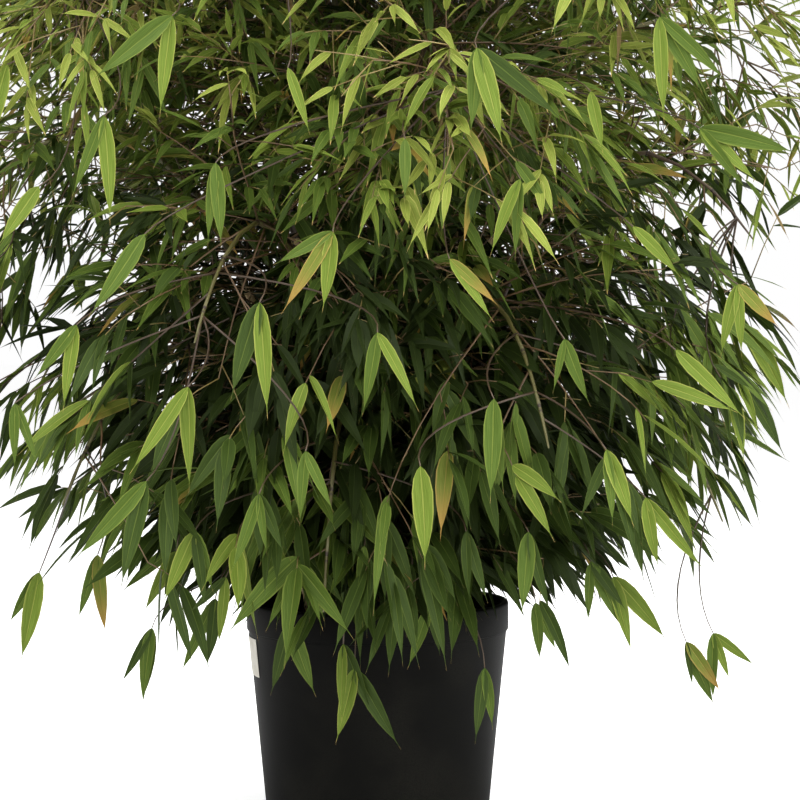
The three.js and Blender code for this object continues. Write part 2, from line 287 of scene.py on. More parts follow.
class Group:
    """Named node groups, each built once. Each takes a place, colours and numbers, and gives a colour."""

    @staticmethod
    def start(name: str, colours: str, numbers: str, given: str) -> tuple[Board, object, object]:
        """Starts a group.

        Args:
            name: The group's name.
            colours: The names of its colour inputs.
            numbers: The names of its number inputs, parted by commas.
            given: The names of its number outputs.

        Returns:
            Its board, the outputs of its input node and the inputs of its output node.
        """
        tree = bpy.data.node_groups.new(name, "ShaderNodeTree")
        sockets = [("Place", "INPUT", "Vector"), ("Color", "OUTPUT", "Color")]
        sockets += [(title, "INPUT", "Color") for title in colours.split()]
        sockets += [(title, "INPUT", "Float") for title in numbers.split(", ") if title]
        sockets += [(title, "OUTPUT", "Float") for title in given.split()]
        for title, side, kind in sockets:
            tree.interface.new_socket(title, in_out=side, socket_type=f"NodeSocket{kind}")
        board = Board(tree)
        return board, board.node("NodeGroupInput").outputs, board.node("NodeGroupOutput").inputs

    @staticmethod
    def grain(board: Board, place: object, stretch: tuple[float, float, float], detail: float) -> tuple:
        """Adds fine streaks that run along a piece.

        Args:
            board: The group's board.
            place: The place on the piece's UV map.
            stretch: How many streaks there are across it and along it.
            detail: Their octaves.

        Returns:
            The place across, the place along and the streaks.
        """
        parts = board.node("ShaderNodeSeparateXYZ")
        board.feed(parts.inputs[0], place)
        stretched = board.node("ShaderNodeMapping")
        stretched.inputs["Scale"].default_value = stretch
        board.feed(stretched.inputs["Vector"], place)
        return parts.outputs[0], parts.outputs[1], board.noise(stretched.outputs[0], 1.0, detail)

    @staticmethod
    @cache
    def mottle() -> bpy.types.NodeTree:
        """Builds patches of one colour on another, with a mask and a fine grain.

        Returns:
            The group.
        """
        numbers = "Patch Scale, Grain Scale, Amount"
        board, taken, given = Group.start("Mottle", "Ground Patch", numbers, "Mask Grain")
        coarse = board.noise(taken["Place"], taken["Patch Scale"], 5.0)
        fine = board.noise(taken["Place"], taken["Grain Scale"], 2.0)
        speckled = board.maths("MULTIPLY", board.rise(coarse, 0.42, 0.66), board.rise(fine, 0.3, 0.62))
        mask = board.maths("MULTIPLY", speckled, taken["Amount"], clamp=True)
        board.feed(given["Color"], board.blend(mask, taken["Ground"], taken["Patch"]))
        board.feed(given["Mask"], mask)
        board.feed(given["Grain"], fine)
        return board.tree

    @staticmethod
    @cache
    def blade() -> bpy.types.NodeTree:
        """Builds a leaf's pattern across (U) and along (V) it: veins, midrib, margin and dried tip.

        Returns:
            The group.
        """
        numbers = "Margin Amount, Tip Start, Tip Fade"
        board, taken, given = Group.start("Blade", "Body Vein Margin Tip", numbers, "Height Roughness")
        across, along, streaks = Group.grain(board, taken["Place"], (34.0, 2.5, 1.0), 3.0)
        from_rib = board.maths("ABSOLUTE", board.maths("MULTIPLY_ADD", across, 2.0, -1.0))
        veins = board.maths("SINE", board.maths("MULTIPLY", from_rib, 44.0))
        lines = board.maths("MULTIPLY_ADD", veins, 0.22, board.rise(streaks, 0.35, 0.68))
        striped = board.blend(board.maths("MULTIPLY", lines, 0.8, clamp=True), taken["Body"], taken["Vein"])
        rib = board.maths("MULTIPLY", board.rise(from_rib, 0.1, 0.02), board.rise(along, 1.0, 0.55))
        ribbed = board.blend(board.maths("MULTIPLY", rib, 0.4), striped, taken["Margin"])
        border = board.maths("MULTIPLY", board.rise(from_rib, 0.8, 0.98), taken["Margin Amount"])
        edged = board.blend(border, ribbed, taken["Margin"])
        ragged = board.maths("MULTIPLY_ADD", streaks, 0.16, board.maths("SUBTRACT", along, 0.08))
        dried = board.node("ShaderNodeMapRange", interpolation_type="SMOOTHSTEP")
        board.feed(dried.inputs["Value"], ragged)
        board.feed(dried.inputs["From Min"], taken["Tip Start"])
        board.feed(dried.inputs["From Max"], board.maths("ADD", taken["Tip Start"], taken["Tip Fade"]))
        board.feed(given["Color"], board.blend(dried.outputs[0], edged, taken["Tip"]))
        ridge = board.maths("MULTIPLY_ADD", veins, 0.5, board.maths("MULTIPLY", rib, -1.6))
        board.feed(given["Height"], ridge)
        board.feed(given["Roughness"], board.maths("MULTIPLY_ADD", streaks, 0.2, 0.42))
        return board.tree

    @staticmethod
    @cache
    def cane_skin() -> bpy.types.NodeTree:
        """Builds a cane's pattern round (U) and along (V) one internode, from its node to the next.

        Returns:
            The group.
        """
        board, taken, given = Group.start("CaneSkin", "Body Streak Ring Bloom", "", "Height Roughness")
        _, along, streaks = Group.grain(board, taken["Place"], (22.0, 2.5, 1.0), 4.0)
        lined = board.blend(board.rise(streaks, 0.4, 0.66), taken["Body"], taken["Streak"])
        waxy = board.maths("MULTIPLY", board.rise(along, 0.74, 0.95), 0.45)
        bloomed = board.blend(waxy, lined, taken["Bloom"])
        ring = board.maths("ADD", board.rise(along, 0.045, 0.02), board.rise(along, 0.965, 0.99), clamp=True)
        board.feed(given["Color"], board.blend(ring, bloomed, taken["Ring"]))
        board.feed(given["Height"], streaks)
        board.feed(given["Roughness"], board.maths("MULTIPLY_ADD", streaks, 0.3, 0.34))
        return board.tree


# ---------------------------------------------------------------- finishes


Screen = tuple[int, int, int]  # a screen colour, in steps of 1/255


@dataclass(frozen=True)
class Finish:
    """A surface finish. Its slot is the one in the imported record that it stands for."""

    name: str
    slot: str
    roughness: float
    bump: float
    bump_depth: float

    def material(self) -> bpy.types.Material:
        """Returns the finish's material, building it the first time.

        Returns:
            The material.
        """
        if self.name in bpy.data.materials:
            return bpy.data.materials[self.name]
        made = bpy.data.materials.new(self.name)
        made.use_nodes = True
        board = Board(made.node_tree)
        board.preset(Roughness=self.roughness)
        self.dress(board)
        return made

    def dress(self, board: Board) -> None:
        """Adds the finish's pattern. Each kind of finish has its own."""
        raise NotImplementedError

    def lay(self, board: Board, tree: bpy.types.NodeTree, place: object, names: str) -> bpy.types.Node:
        """Lays a group's pattern on the surface, with the finish's own colours and numbers.

        Args:
            board: The material's board.
            tree: The group.
            place: The coordinates that the pattern follows.
            names: The fields that the group takes.

        Returns:
            The group node.
        """
        laid = board.group(tree, Place=place)
        for name in names.split():
            value = getattr(self, name)
            value = colour(*value) if isinstance(value, tuple) else value
            laid.inputs[name.title().replace("_", " ")].default_value = value
        board.feed(board.shader.inputs["Base Color"], laid.outputs["Color"])
        return laid

    def lay_along(self, board: Board, tree: bpy.types.NodeTree, names: str) -> None:
        """Lays a pattern along the piece's own UV map, with its roughness and relief.

        Args:
            board: The material's board.
            tree: The group.
            names: The fields that the group takes.
        """
        place = board.node("ShaderNodeUVMap", uv_map=BAKE_MAP).outputs[0]
        laid = self.lay(board, tree, place, names)
        board.feed(board.shader.inputs["Roughness"], laid.outputs["Roughness"])
        self.relief(board, laid.outputs["Height"])

    def relief(self, board: Board, height: object) -> None:
        """Feeds a height into the shader's normal through a Bump node.

        Args:
            board: The material's board.
            height: The height's output socket.
        """
        bump = board.node("ShaderNodeBump")
        bump.inputs["Strength"].default_value = self.bump
        bump.inputs["Distance"].default_value = self.bump_depth
        board.feed(bump.inputs["Height"], height)
        board.feed(board.shader.inputs["Normal"], bump.outputs[0])


@dataclass(frozen=True)
class MottledFinish(Finish):
    """Plastic, paper or earth: patches and a fine grain laid out in Object coordinates."""

    ground: Screen
    patch: Screen
    patch_scale: float
    grain_scale: float
    amount: float
    rougher: float
    gloss: float = 0.5

    def dress(self, board: Board) -> None:
        """Adds patches, a roughness that follows them and a grained relief.

        Args:
            board: The material's board.
        """
        place = board.node("ShaderNodeTexCoord").outputs["Object"]
        laid = self.lay(board, Group.mottle(), place, "ground patch patch_scale grain_scale amount")
        board.preset(Specular_IOR_Level=self.gloss)
        rough = board.maths("MULTIPLY_ADD", laid.outputs["Mask"], self.rougher, self.roughness)
        board.feed(board.shader.inputs["Roughness"], rough)
        self.relief(board, laid.outputs["Grain"])


@dataclass(frozen=True)
class LeafFinish(Finish):
    """A leaf of one tint, with its veins, midrib, margin and dried tip."""

    body: Screen
    vein: Screen
    margin: Screen
    tip: Screen
    margin_amount: float
    tip_start: float
    tip_fade: float = 0.07
    gloss: float = 0.11

    def dress(self, board: Board) -> None:
        """Adds the blade's pattern and a faint gloss."""
        board.preset(Specular_IOR_Level=self.gloss)
        self.lay_along(board, Group.blade(), "body vein margin tip margin_amount tip_start tip_fade")


@dataclass(frozen=True)
class CaneFinish(Finish):
    """The skin of a cane, a twig, a sheath or a chip of bark, laid out along each internode."""

    body: Screen
    streak: Screen
    ring: Screen
    bloom: Screen

    def dress(self, board: Board) -> None:
        """Adds the skin's pattern."""
        self.lay_along(board, Group.cane_skin(), "body streak ring bloom")


def leaf(name: str, roughness: float, bump: float, *pattern: object) -> LeafFinish:
    """Returns a leaf's finish, from its roughness and bump on. Veins stand 0.3 mm proud at the most."""
    return LeafFinish(name, "leaf", roughness, bump, 0.0003, *pattern)


class LeafTint(Enum):
    """The tints of leaves: body, vein, margin and tip, how much margin shows, and where the tip starts. The
    first five, from the lightest down, are partly the leaves' own greens and partly lit and shaded copies of
    one green, painted light and shade; the last three are ageing leaves.
    """

    # painted light: the lightest copy, for leaves high up and on the crown's skin
    LIT_FRESH = leaf(
        "leaf_lit_fresh", 0.45, 0.35, (102, 115, 38), (134, 144, 66), (172, 168, 92), (186, 160, 104), 0.75, 0.88
    )
    BRIGHT = leaf(
        "leaf_bright", 0.45, 0.35, (81, 98, 29), (108, 126, 50), (154, 156, 78), (176, 148, 92), 0.6, 0.9
    )
    GREEN = leaf(
        "leaf_green", 0.45, 0.35, (60, 79, 22), (84, 102, 42), (128, 138, 62), (162, 136, 84), 0.45, 0.91
    )
    # painted shade: the two darkest copies, for leaves deep inside and low down
    DEEP = leaf(
        "leaf_shaded", 0.45, 0.35, (41, 56, 16), (57, 73, 28), (98, 112, 48), (140, 118, 72), 0.35, 0.93
    )
    SHADE = leaf("leaf_shade", 0.5, 0.3, (27, 37, 10), (38, 50, 17), (62, 74, 32), (104, 90, 54), 0.2, 0.95)
    FADING = leaf(
        "leaf_fading", 0.5, 0.35,
        (88, 98, 34), (114, 122, 52), (152, 130, 70), (140, 112, 56), 0.9, 0.35, 0.55,
    )
    YELLOWING = leaf(
        "leaf_yellowing", 0.5, 0.35,
        (146, 122, 50), (118, 112, 48), (152, 112, 54), (124, 86, 50), 0.8, 0.6, 0.3,
    )
    DRY = leaf("leaf_dry", 0.65, 0.4, (112, 96, 58), (92, 76, 46), (134, 114, 76), (116, 92, 62), 0.4, 0.82)


class CaneTint(Enum):
    """The tints of canes and twigs: body, streaks, the ring at each node and the bloom below it."""

    OLIVE = CaneFinish(
        "cane_olive", "cane", 0.45, 0.3, 0.0004, (86, 84, 38), (72, 62, 32), (48, 36, 24), (116, 112, 80)
    )
    PURPLE = CaneFinish(
        "cane_purple", "cane", 0.45, 0.3, 0.0004, (72, 56, 36), (54, 36, 28), (36, 25, 20), (104, 92, 72)
    )
    TWIG_GREEN = CaneFinish(
        "twig_green", "cane", 0.5, 0.3, 0.0003, (128, 114, 62), (108, 86, 48), (84, 58, 38), (140, 128, 80)
    )
    TWIG_DARK = CaneFinish(
        "twig_dark", "cane", 0.55, 0.3, 0.0003, (62, 46, 28), (50, 36, 24), (40, 28, 20), (84, 68, 46)
    )
    TWIG_BROWN = CaneFinish(
        "twig_brown", "cane", 0.55, 0.3, 0.0003, (94, 72, 44), (80, 58, 36), (58, 40, 28), (122, 100, 68)
    )


SHEATH = CaneFinish(
    "culm_sheath", "cane", 0.7, 0.4, 0.0005, (186, 164, 118), (150, 122, 80), (120, 92, 60), (204, 188, 150)
)
BARK_BROWN = CaneFinish(
    "bark_brown", "soil", 0.85, 0.7, 0.0015, (84, 58, 40), (58, 38, 28), (44, 30, 22), (96, 72, 52)
)
BARK_DARK = CaneFinish(
    "bark_dark", "soil", 0.9, 0.7, 0.0015, (46, 32, 24), (30, 21, 17), (26, 19, 15), (58, 44, 34)
)
POT_PLASTIC = MottledFinish(
    "moulded_pot_plastic", "pot_plastic", 0.5, 0.25, 0.0004,
    (11, 11, 9), (38, 37, 31), 11.0, 900.0, 0.32, 0.2, 0.045,
)
SOIL_EARTH = MottledFinish(
    "soil_earth", "soil", 0.9, 0.9, 0.004, (34, 25, 19), (74, 54, 38), 60.0, 420.0, 0.8, 0.05
)
LABEL_PAPER = MottledFinish(
    "blank_sticker_paper", "label_paper", 0.62, 0.2, 0.0003,
    (222, 218, 206), (190, 182, 164), 34.0, 1400.0, 0.55, 0.1,
)


# ---------------------------------------------------------------- meshes from arrays


def deselect() -> None:
    """Leaves edit mode and deselects everything."""
    if bpy.context.mode != "OBJECT":
        bpy.ops.object.mode_set(mode="OBJECT")
    bpy.ops.object.select_all(action="DESELECT")


def draw_up(name: str, rings: list[tuple[float, float]], segments: int) -> bpy.types.Object:
    """Draws a disc up through rings and stays in edit mode, with the last disc selected.

    Args:
        name: The piece's name.
        rings: The radius and height of each ring.
        segments: How many corners each has.

    Returns:
        The piece.
    """
    deselect()
    radius, height = rings[0]
    bpy.ops.mesh.primitive_circle_add(
        vertices=segments, radius=radius, fill_type="NGON", location=(0, 0, height)
    )
    piece = bpy.context.object
    piece.name = piece.data.name = name
    bpy.ops.object.mode_set(mode="EDIT")
    bpy.ops.mesh.select_mode(type="FACE")
    bpy.ops.mesh.flip_normals()
    for new_radius, new_height in rings[1:]:
        bpy.ops.mesh.extrude_region_move(TRANSFORM_OT_translate={"value": (0, 0, new_height - height)})
        share = new_radius / radius
        bpy.ops.transform.resize(value=(share, share, 1))
        radius, height = new_radius, new_height
    return piece


def face_outwards() -> None:
    """Turns the faces of the piece in edit mode outwards, and leaves edit mode."""
    bpy.ops.mesh.select_all(action="SELECT")
    bpy.ops.mesh.normals_make_consistent(inside=False)
    bpy.ops.object.mode_set(mode="OBJECT")


def place(piece: bpy.types.Object, finish: Finish, *replaced: str) -> bpy.types.Object:
    """Gives a piece its finish, lets it ride on the part's one body and hides the CAD nodes that it stands
    for.

    Args:
        piece: The piece.
        finish: Its finish.
        *replaced: The CAD nodes that it stands for.

    Returns:
        The piece.
    """
    piece.data.materials.clear()
    piece.data.materials.append(finish.material())
    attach(piece, "root")
    if replaced:
        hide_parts(*replaced)
    return piece


def array_mesh(
    name: str, points: np.ndarray, quads: np.ndarray, triangles: np.ndarray, uv: np.ndarray,
    crease: np.ndarray | None = None,
) -> bpy.types.Object:
    """Makes a smooth mesh object from arrays.

    Args:
        name: The object's name.
        points: Its points, N by 3.
        quads: Its four-sided faces, as indices.
        triangles: Its three-sided faces, as indices.
        uv: Each point's place on the UV map.
        crease: True for each point on a crease, or None. An edge between two such points stays sharp.

    Returns:
        The object.
    """
    mesh = bpy.data.meshes.new(name)
    mesh.vertices.add(len(points))
    mesh.vertices.foreach_set("co", points.astype(np.float32).ravel())
    corners = np.concatenate([quads.ravel(), triangles.ravel()]).astype(np.int32)
    sizes = np.concatenate([np.full(len(quads), 4), np.full(len(triangles), 3)])
    mesh.loops.add(len(corners))
    mesh.loops.foreach_set("vertex_index", corners)
    mesh.polygons.add(len(sizes))
    starts = np.concatenate([[0], np.cumsum(sizes)[:-1]])
    mesh.polygons.foreach_set("loop_start", starts.astype(np.int32))
    mesh.polygons.foreach_set("use_smooth", np.ones(len(sizes), bool))
    layer = mesh.uv_layers.new(name=BAKE_MAP)
    layer.data.foreach_set("uv", uv[corners].astype(np.float32).ravel())
    mesh.update(calc_edges=True)
    if crease is not None:
        ends = np.empty(2 * len(mesh.edges), np.int32)
        mesh.edges.foreach_get("vertices", ends)
        sharp = mesh.attributes.new("sharp_edge", "BOOLEAN", "EDGE")
        sharp.data.foreach_set("value", crease[ends].reshape(-1, 2).all(1))
    mesh.validate()
    piece = bpy.data.objects.new(name, mesh)
    bpy.context.scene.collection.objects.link(piece)
    return piece


def repeated(faces: np.ndarray, count: int, stride: int) -> np.ndarray:
    """Returns one shape's faces for each of many copies whose points follow one another.

    Args:
        faces: The faces of one copy.
        count: How many copies there are.
        stride: How many points each has.

    Returns:
        The faces of all.
    """
    steps = np.arange(count)[:, None, None] * stride
    return (faces[None] + steps).reshape(-1, faces.shape[1])


def tube_faces(rings: int, sides: int) -> tuple[np.ndarray, np.ndarray]:
    """Returns the faces of a closed tube.

    Args:
        rings: How many rings of points it has.
        sides: How many points each ring has.

    Returns:
        Its four-sided faces and the three-sided ones of its two ends.
    """
    ring = np.arange(rings - 1)[:, None] * sides
    here = np.arange(sides)
    after = (here + 1) % sides
    quads = np.stack([ring + here, ring + after, ring + after + sides, ring + here + sides], -1)
    fan = np.arange(1, sides - 1)
    last = (rings - 1) * sides
    foot = np.stack([0 * fan, fan + 1, fan], -1)
    head = np.stack([last + 0 * fan, last + fan, last + fan + 1], -1)
    return quads.reshape(-1, 4), np.concatenate([foot, head])


def unit(vectors: np.ndarray) -> np.ndarray:
    """Returns each vector at length 1."""
    return vectors / np.maximum(np.linalg.norm(vectors, axis=-1, keepdims=True), 1e-9)


@dataclass
class Tubes:
    """Tapering round limbs with equal numbers of points, joined in one mesh."""

    sides: int
    paths: list[list[Vector]] = field(default_factory=list)
    radii: list[list[float]] = field(default_factory=list)
    along: list[list[float]] = field(default_factory=list)

    def add(self, path: list[Vector], radii: list[float], along: list[float]) -> None:
        """Adds a limb.

        Args:
            path: Its points.
            radii: Its radius at each.
            along: Its place on the UV map at each, from 0 to 1 along an internode.
        """
        self.paths.append(path)
        self.radii.append(radii)
        self.along.append(along)

    def build(self, name: str, chosen: list[int]) -> bpy.types.Object:
        """Makes one mesh of some of the limbs.

        Args:
            name: The mesh's name.
            chosen: The limbs' numbers.

        Returns:
            The object.
        """
        paths = np.array([[tuple(p) for p in self.paths[i]] for i in chosen])
        radii = np.array([self.radii[i] for i in chosen])
        along = np.array([self.along[i] for i in chosen])
        count, steps = radii.shape
        heading = unit(np.gradient(paths, axis=1))
        side = unit(np.cross(heading, SLANT))
        normal = np.cross(heading, side)
        turn = 2 * math.pi * np.arange(self.sides + 1) / self.sides
        ring = side[:, :, None] * np.cos(turn)[:, None] + normal[:, :, None] * np.sin(turn)[:, None]
        points = paths[:, :, None] + ring[:, :, : self.sides] * radii[:, :, None, None]
        around = np.broadcast_to(np.arange(self.sides) / self.sides, (count, steps, self.sides))
        uv = np.stack([around, np.broadcast_to(along[:, :, None], around.shape)], -1)
        faces = (repeated(some, count, steps * self.sides) for some in tube_faces(steps, self.sides))
        return array_mesh(name, points.reshape(-1, 3), *faces, uv.reshape(-1, 2))


@dataclass(frozen=True)
class LeafShape:
    """The outline of a lance-shaped leaf: shares of its length, and of its half width there."""

    stations: tuple[float, ...]

    @staticmethod
    def half_width(share: np.ndarray) -> np.ndarray:
        """Returns how broad the leaf is at shares of its length: a round base, level sides and a thin tip.

        Args:
            share: The shares.

        Returns:
            The breadths, against the broadest.
        """
        base = np.clip(share / 0.24, 0, 1)
        full = np.sin(0.5 * math.pi * base) ** 0.7
        taper = 1 - np.clip((share - 0.33) / 0.55, 0, 1) ** 2.0
        return np.maximum(full * taper, 0.06)

    def faces(self) -> tuple[np.ndarray, np.ndarray]:
        """Lays out one leaf's faces, from its root point to its tip.

        Returns:
            The four-sided faces and the three-sided ones.
        """
        inner = len(self.stations) - 2
        quads = []
        for i in range(inner - 1):
            left, rib, right = (1 + 3 * i, 2 + 3 * i, 3 + 3 * i)
            quads += [[left, rib, rib + 3, left + 3], [rib, right, right + 3, rib + 3]]
        last, tip = 3 * inner - 2, 3 * inner + 1
        triangles = [[0, 2, 1], [0, 3, 2], [last, last + 1, tip], [last + 1, last + 2, tip]]
        return np.array(quads), np.array(triangles)


OUTER_LEAF = LeafShape((0.0, 0.04, 0.12, 0.26, 0.45, 0.62, 0.76, 0.87, 1.0))
MIDDLE_LEAF = LeafShape((0.0, 0.07, 0.24, 0.5, 0.76, 1.0))
INNER_LEAF = LeafShape((0.0, 0.12, 0.42, 0.72, 1.0))


@dataclass
class Leaves:
    """The leaves of one tint, one row of numbers for each, and the meshes made of them."""

    rows: dict[LeafShape, list[tuple]] = field(
        default_factory=lambda: {OUTER_LEAF: [], MIDDLE_LEAF: [], INNER_LEAF: []}
    )

    def build(self, name: str, shape: LeafShape, rows: np.ndarray) -> bpy.types.Object:
        """Makes one mesh of leaves of one shape.

        Args:
            name: The mesh's name.
            shape: Their outline.
            rows: For each, its root, heading and side, then its length, width, droop, fold, twist and bow.

        Returns:
            The object.
        """
        root, along, across = rows[:, 0:3], rows[:, 3:6], rows[:, 6:9]
        length, width, droop, fold, twist, bow = (rows[:, i][:, None, None] for i in range(9, 15))
        share = np.array(shape.stations)[None, :, None]
        down = np.array((0.0, 0.0, -1.0))
        arc = droop * share ** DROOP_POWER / DROOP_POWER
        root, along, across = root[:, None], along[:, None], across[:, None]
        spine = root + length * (along * share + down * arc + across * bow * share ** 2)
        heading = unit(along + down * droop * share ** 1.2 + across * 2 * bow * share)
        side = unit(across - heading * (across * heading).sum(-1, keepdims=True))
        face = np.cross(side, heading)
        spun = twist * share
        side, face = side * np.cos(spun) + face * np.sin(spun), face * np.cos(spun) - side * np.sin(spun)
        half = width / 2 * LeafShape.half_width(share)
        angle = fold * (1 - 0.6 * share)
        lift = face * half * np.sin(angle)
        reach = side * half * np.cos(angle)
        left, right = spine - reach + lift, spine + reach + lift
        inner = np.stack([left, spine, right], 2)[:, 1:-1].reshape(len(rows), -1, 3)
        points = np.concatenate([spine[:, :1], inner, spine[:, -1:]], 1)
        between = np.array(shape.stations[1:-1])
        u = np.concatenate([[0.5], np.tile([0.0, 0.5, 1.0], len(between)), [0.5]])
        v = np.concatenate([[0.0], np.repeat(between, 3), [1.0]])
        quads, triangles = shape.faces()
        count, stride = len(rows), points.shape[1]
        uv, on_rib = np.tile(np.stack([u, v], -1), (count, 1)), np.tile(u == 0.5, count)
        faces = repeated(quads, count, stride), repeated(triangles, count, stride)
        return array_mesh(name, points.reshape(-1, 3), *faces, uv, on_rib)


# ---------------------------------------------------------------- the crown and its canes


@dataclass(frozen=True)
class Crown:
    """How far the crown reaches: a rounded dome about the axis with slow lobes round it."""

    middle: float = 0.690
    above: float = 0.775
    below: float = 0.620
    radius: float = 0.540
    power: float = 3.0
    lobe: float = 0.06
    open_turn: float = 5.0  # the side where the sky shows through most
    thinning: float = 0.88  # how many of the outer twigs are missing there
    closing: tuple[float, float] = (0.64, 0.8)  # the heights between which that side closes
    upper: tuple[float, float] = (0.6, 0.85)  # the heights between which the twigs come to stand thickly
    pocket: tuple[float, float, float] = (-0.130, -0.370, 0.630)
    pocket_reach: tuple[float, float] = (0.050, 0.120)
    skirt_height: float = 0.318
    skirt_rise: float = 1.1
    skirt_radius: float = 0.150

    def level(self, height: float) -> float:
        """Returns how high a height lies in the crown, from -1 at its foot to 1 at its top."""
        rise = height - self.middle
        return rise / (self.above if rise > 0 else self.below)

    def lobes(self, height: float, angle: float) -> float:
        """Returns how much further the crown reaches at a height and an angle in radians."""
        wave = math.sin(3 * angle + height / 0.300) * math.cos(2 * angle - height / 0.220)
        return 1 + self.lobe * wave

    def reach(self, height: float, angle: float) -> float:
        """Returns how far the crown reaches from the axis.

        Args:
            height: The height.
            angle: The angle round the axis, in radians.

        Returns:
            The reach, 0 above the crown and below it.
        """
        level = abs(self.level(height))
        if level >= 1:
            return 0.0
        return self.radius * self.lobes(height, angle) * math.sqrt(1 - level ** self.power)

    def fullness(self, point: Vector) -> float:
        """Returns how thickly leafy twigs stand: 1 in the crown's body and less in the fringe round it.

        Args:
            point: The point.

        Returns:
            The share of the twigs that grow there.
        """
        angle = math.atan2(point.y, point.x)
        upper = ease(point.z, *self.upper)
        skirt = mix(0.07, 1.0, ease(self.above_underside(point), -0.07, 0.05))
        sideways = math.cos(angle - math.radians(self.open_turn))
        closed = mix(0.8, 0.4, ease(sideways, -0.5, 0.5)) * ease(point.z, *self.closing)
        openness = sideways ** 2 * (1 - closed)
        out = math.hypot(point.x, point.y) / (self.radius * self.lobes(point.z, angle))
        ragged = mix(mix(0.62, 0.08, upper), 0.1 if sideways > 0 else 0.2, openness)
        fringe = (1 - ragged * ease(out, 0.6, 0.92)) * (1 - self.thinning * openness * ease(out, 0.2, 0.5))
        near_pot = (1 - ease(point.z, 0.4, 0.5)) * (1 - ease(math.hypot(point.x, point.y), 0.2, 0.3))
        hollow = max(mix(0.25, 0.75, upper), near_pot)
        pocket = mix(0.3, 1.0, self.beyond_pocket(point))
        return skirt * fringe * pocket * mix(hollow, 1.0, self.gathering(point))

    def beyond_pocket(self, point: Vector) -> float:
        """Returns 0 in the dark pocket in the front of the crown and 1 outside it."""
        return ease((point - Vector(self.pocket)).length, *self.pocket_reach)

    @staticmethod
    def gathering(point: Vector) -> float:
        """Returns how the twigs gather, by waves about 0.2 m long.

        Args:
            point: The point.

        Returns:
            1 within a cluster and 0 in the hollows between.
        """
        wave = math.sin(point.x / 0.031 + 2.1 * math.sin(point.z / 0.047))
        wave += math.sin(point.y / 0.034 + 1.7 * math.sin(point.x / 0.052))
        wave += math.sin(point.z / 0.029 + 1.9 * math.sin(point.y / 0.044))
        return ease(wave, -1.6, 0.4)

    def underside(self, radius: float) -> float:
        """Returns the height of the body's underside, which rises outwards from the pot's rim."""
        return self.skirt_height + self.skirt_rise * max(0.0, radius - self.skirt_radius)

    def above_underside(self, point: Vector) -> float:
        """Returns how far a point lies above the body's underside."""
        return point.z - self.underside(math.hypot(point.x, point.y))

    def exposure(self, point: Vector) -> float:
        """Returns how open a point lies to the light.

        Args:
            point: The point.

        Returns:
            0 deep inside and 1 on the crown's skin.
        """
        reach = self.reach(point.z, math.atan2(point.y, point.x))
        body = 0.230 + self.skirt_rise * max(0.0, point.z - 0.335)
        inwards = min(reach, body) - math.hypot(point.x, point.y)
        skin = max(1 - ease(inwards, -0.01, 0.11), ease(self.depth(point), 0.6, 0.97))
        # in the front pocket a point counts as less open, so its leaves also get more painted shade
        return skin * mix(0.35, 1.0, self.beyond_pocket(point))

    def depth(self, point: Vector) -> float:
        """Returns how far out a point lies: 0 in the crown's middle and 1 on its skin."""
        wide = self.radius * self.lobes(point.z, math.atan2(point.y, point.x))
        return math.hypot(point.x, point.y) ** 2 / wide ** 2 + abs(self.level(point.z)) ** self.power


@dataclass
class Cane:
    """One cane on its curve, from the soil to its tip."""

    number: int
    handles: tuple[Vector, Vector, Vector, Vector]
    foot_radius: float
    tip_radius: float
    tint: CaneTint
    first_node: float = 0.022
    node_gap: float = 0.040  # at the foot and the tip
    wider_gap: float = 0.062  # how much wider it is halfway up

    def point(self, share: float) -> Vector:
        """Finds a point of the curve.

        Args:
            share: Its share of the way from the foot to the tip.

        Returns:
            The point.
        """
        a, b, c, d = self.handles
        rest = 1 - share
        return rest ** 3 * a + 3 * rest ** 2 * share * b + 3 * rest * share ** 2 * c + share ** 3 * d

    def heading(self, share: float) -> Vector:
        """Finds the direction of growth.

        Args:
            share: The share of the way from the foot to the tip.

        Returns:
            The direction.
        """
        a, b, c, d = self.handles
        rest = 1 - share
        return (rest ** 2 * (b - a) + 2 * rest * share * (c - b) + share ** 2 * (d - c)).normalized()

    def radius(self, share: float) -> float:
        """Returns the cane's radius at a share of the curve."""
        return mix(self.foot_radius, self.tip_radius, share)

    def node_shares(self) -> list[float]:
        """Sets out the nodes, closer together near the foot and the tip.

        Returns:
            Their shares of the curve.
        """
        steps = 240
        shares, walked, wanted = [], 0.0, self.first_node
        before = self.point(0)
        for i in range(1, steps + 1):
            share = i / steps
            here = self.point(share)
            walked += (here - before).length
            before = here
            if walked >= wanted and share < 0.985:
                shares.append(share)
                wanted += self.node_gap + self.wider_gap * math.sin(math.pi * share)
        return shares


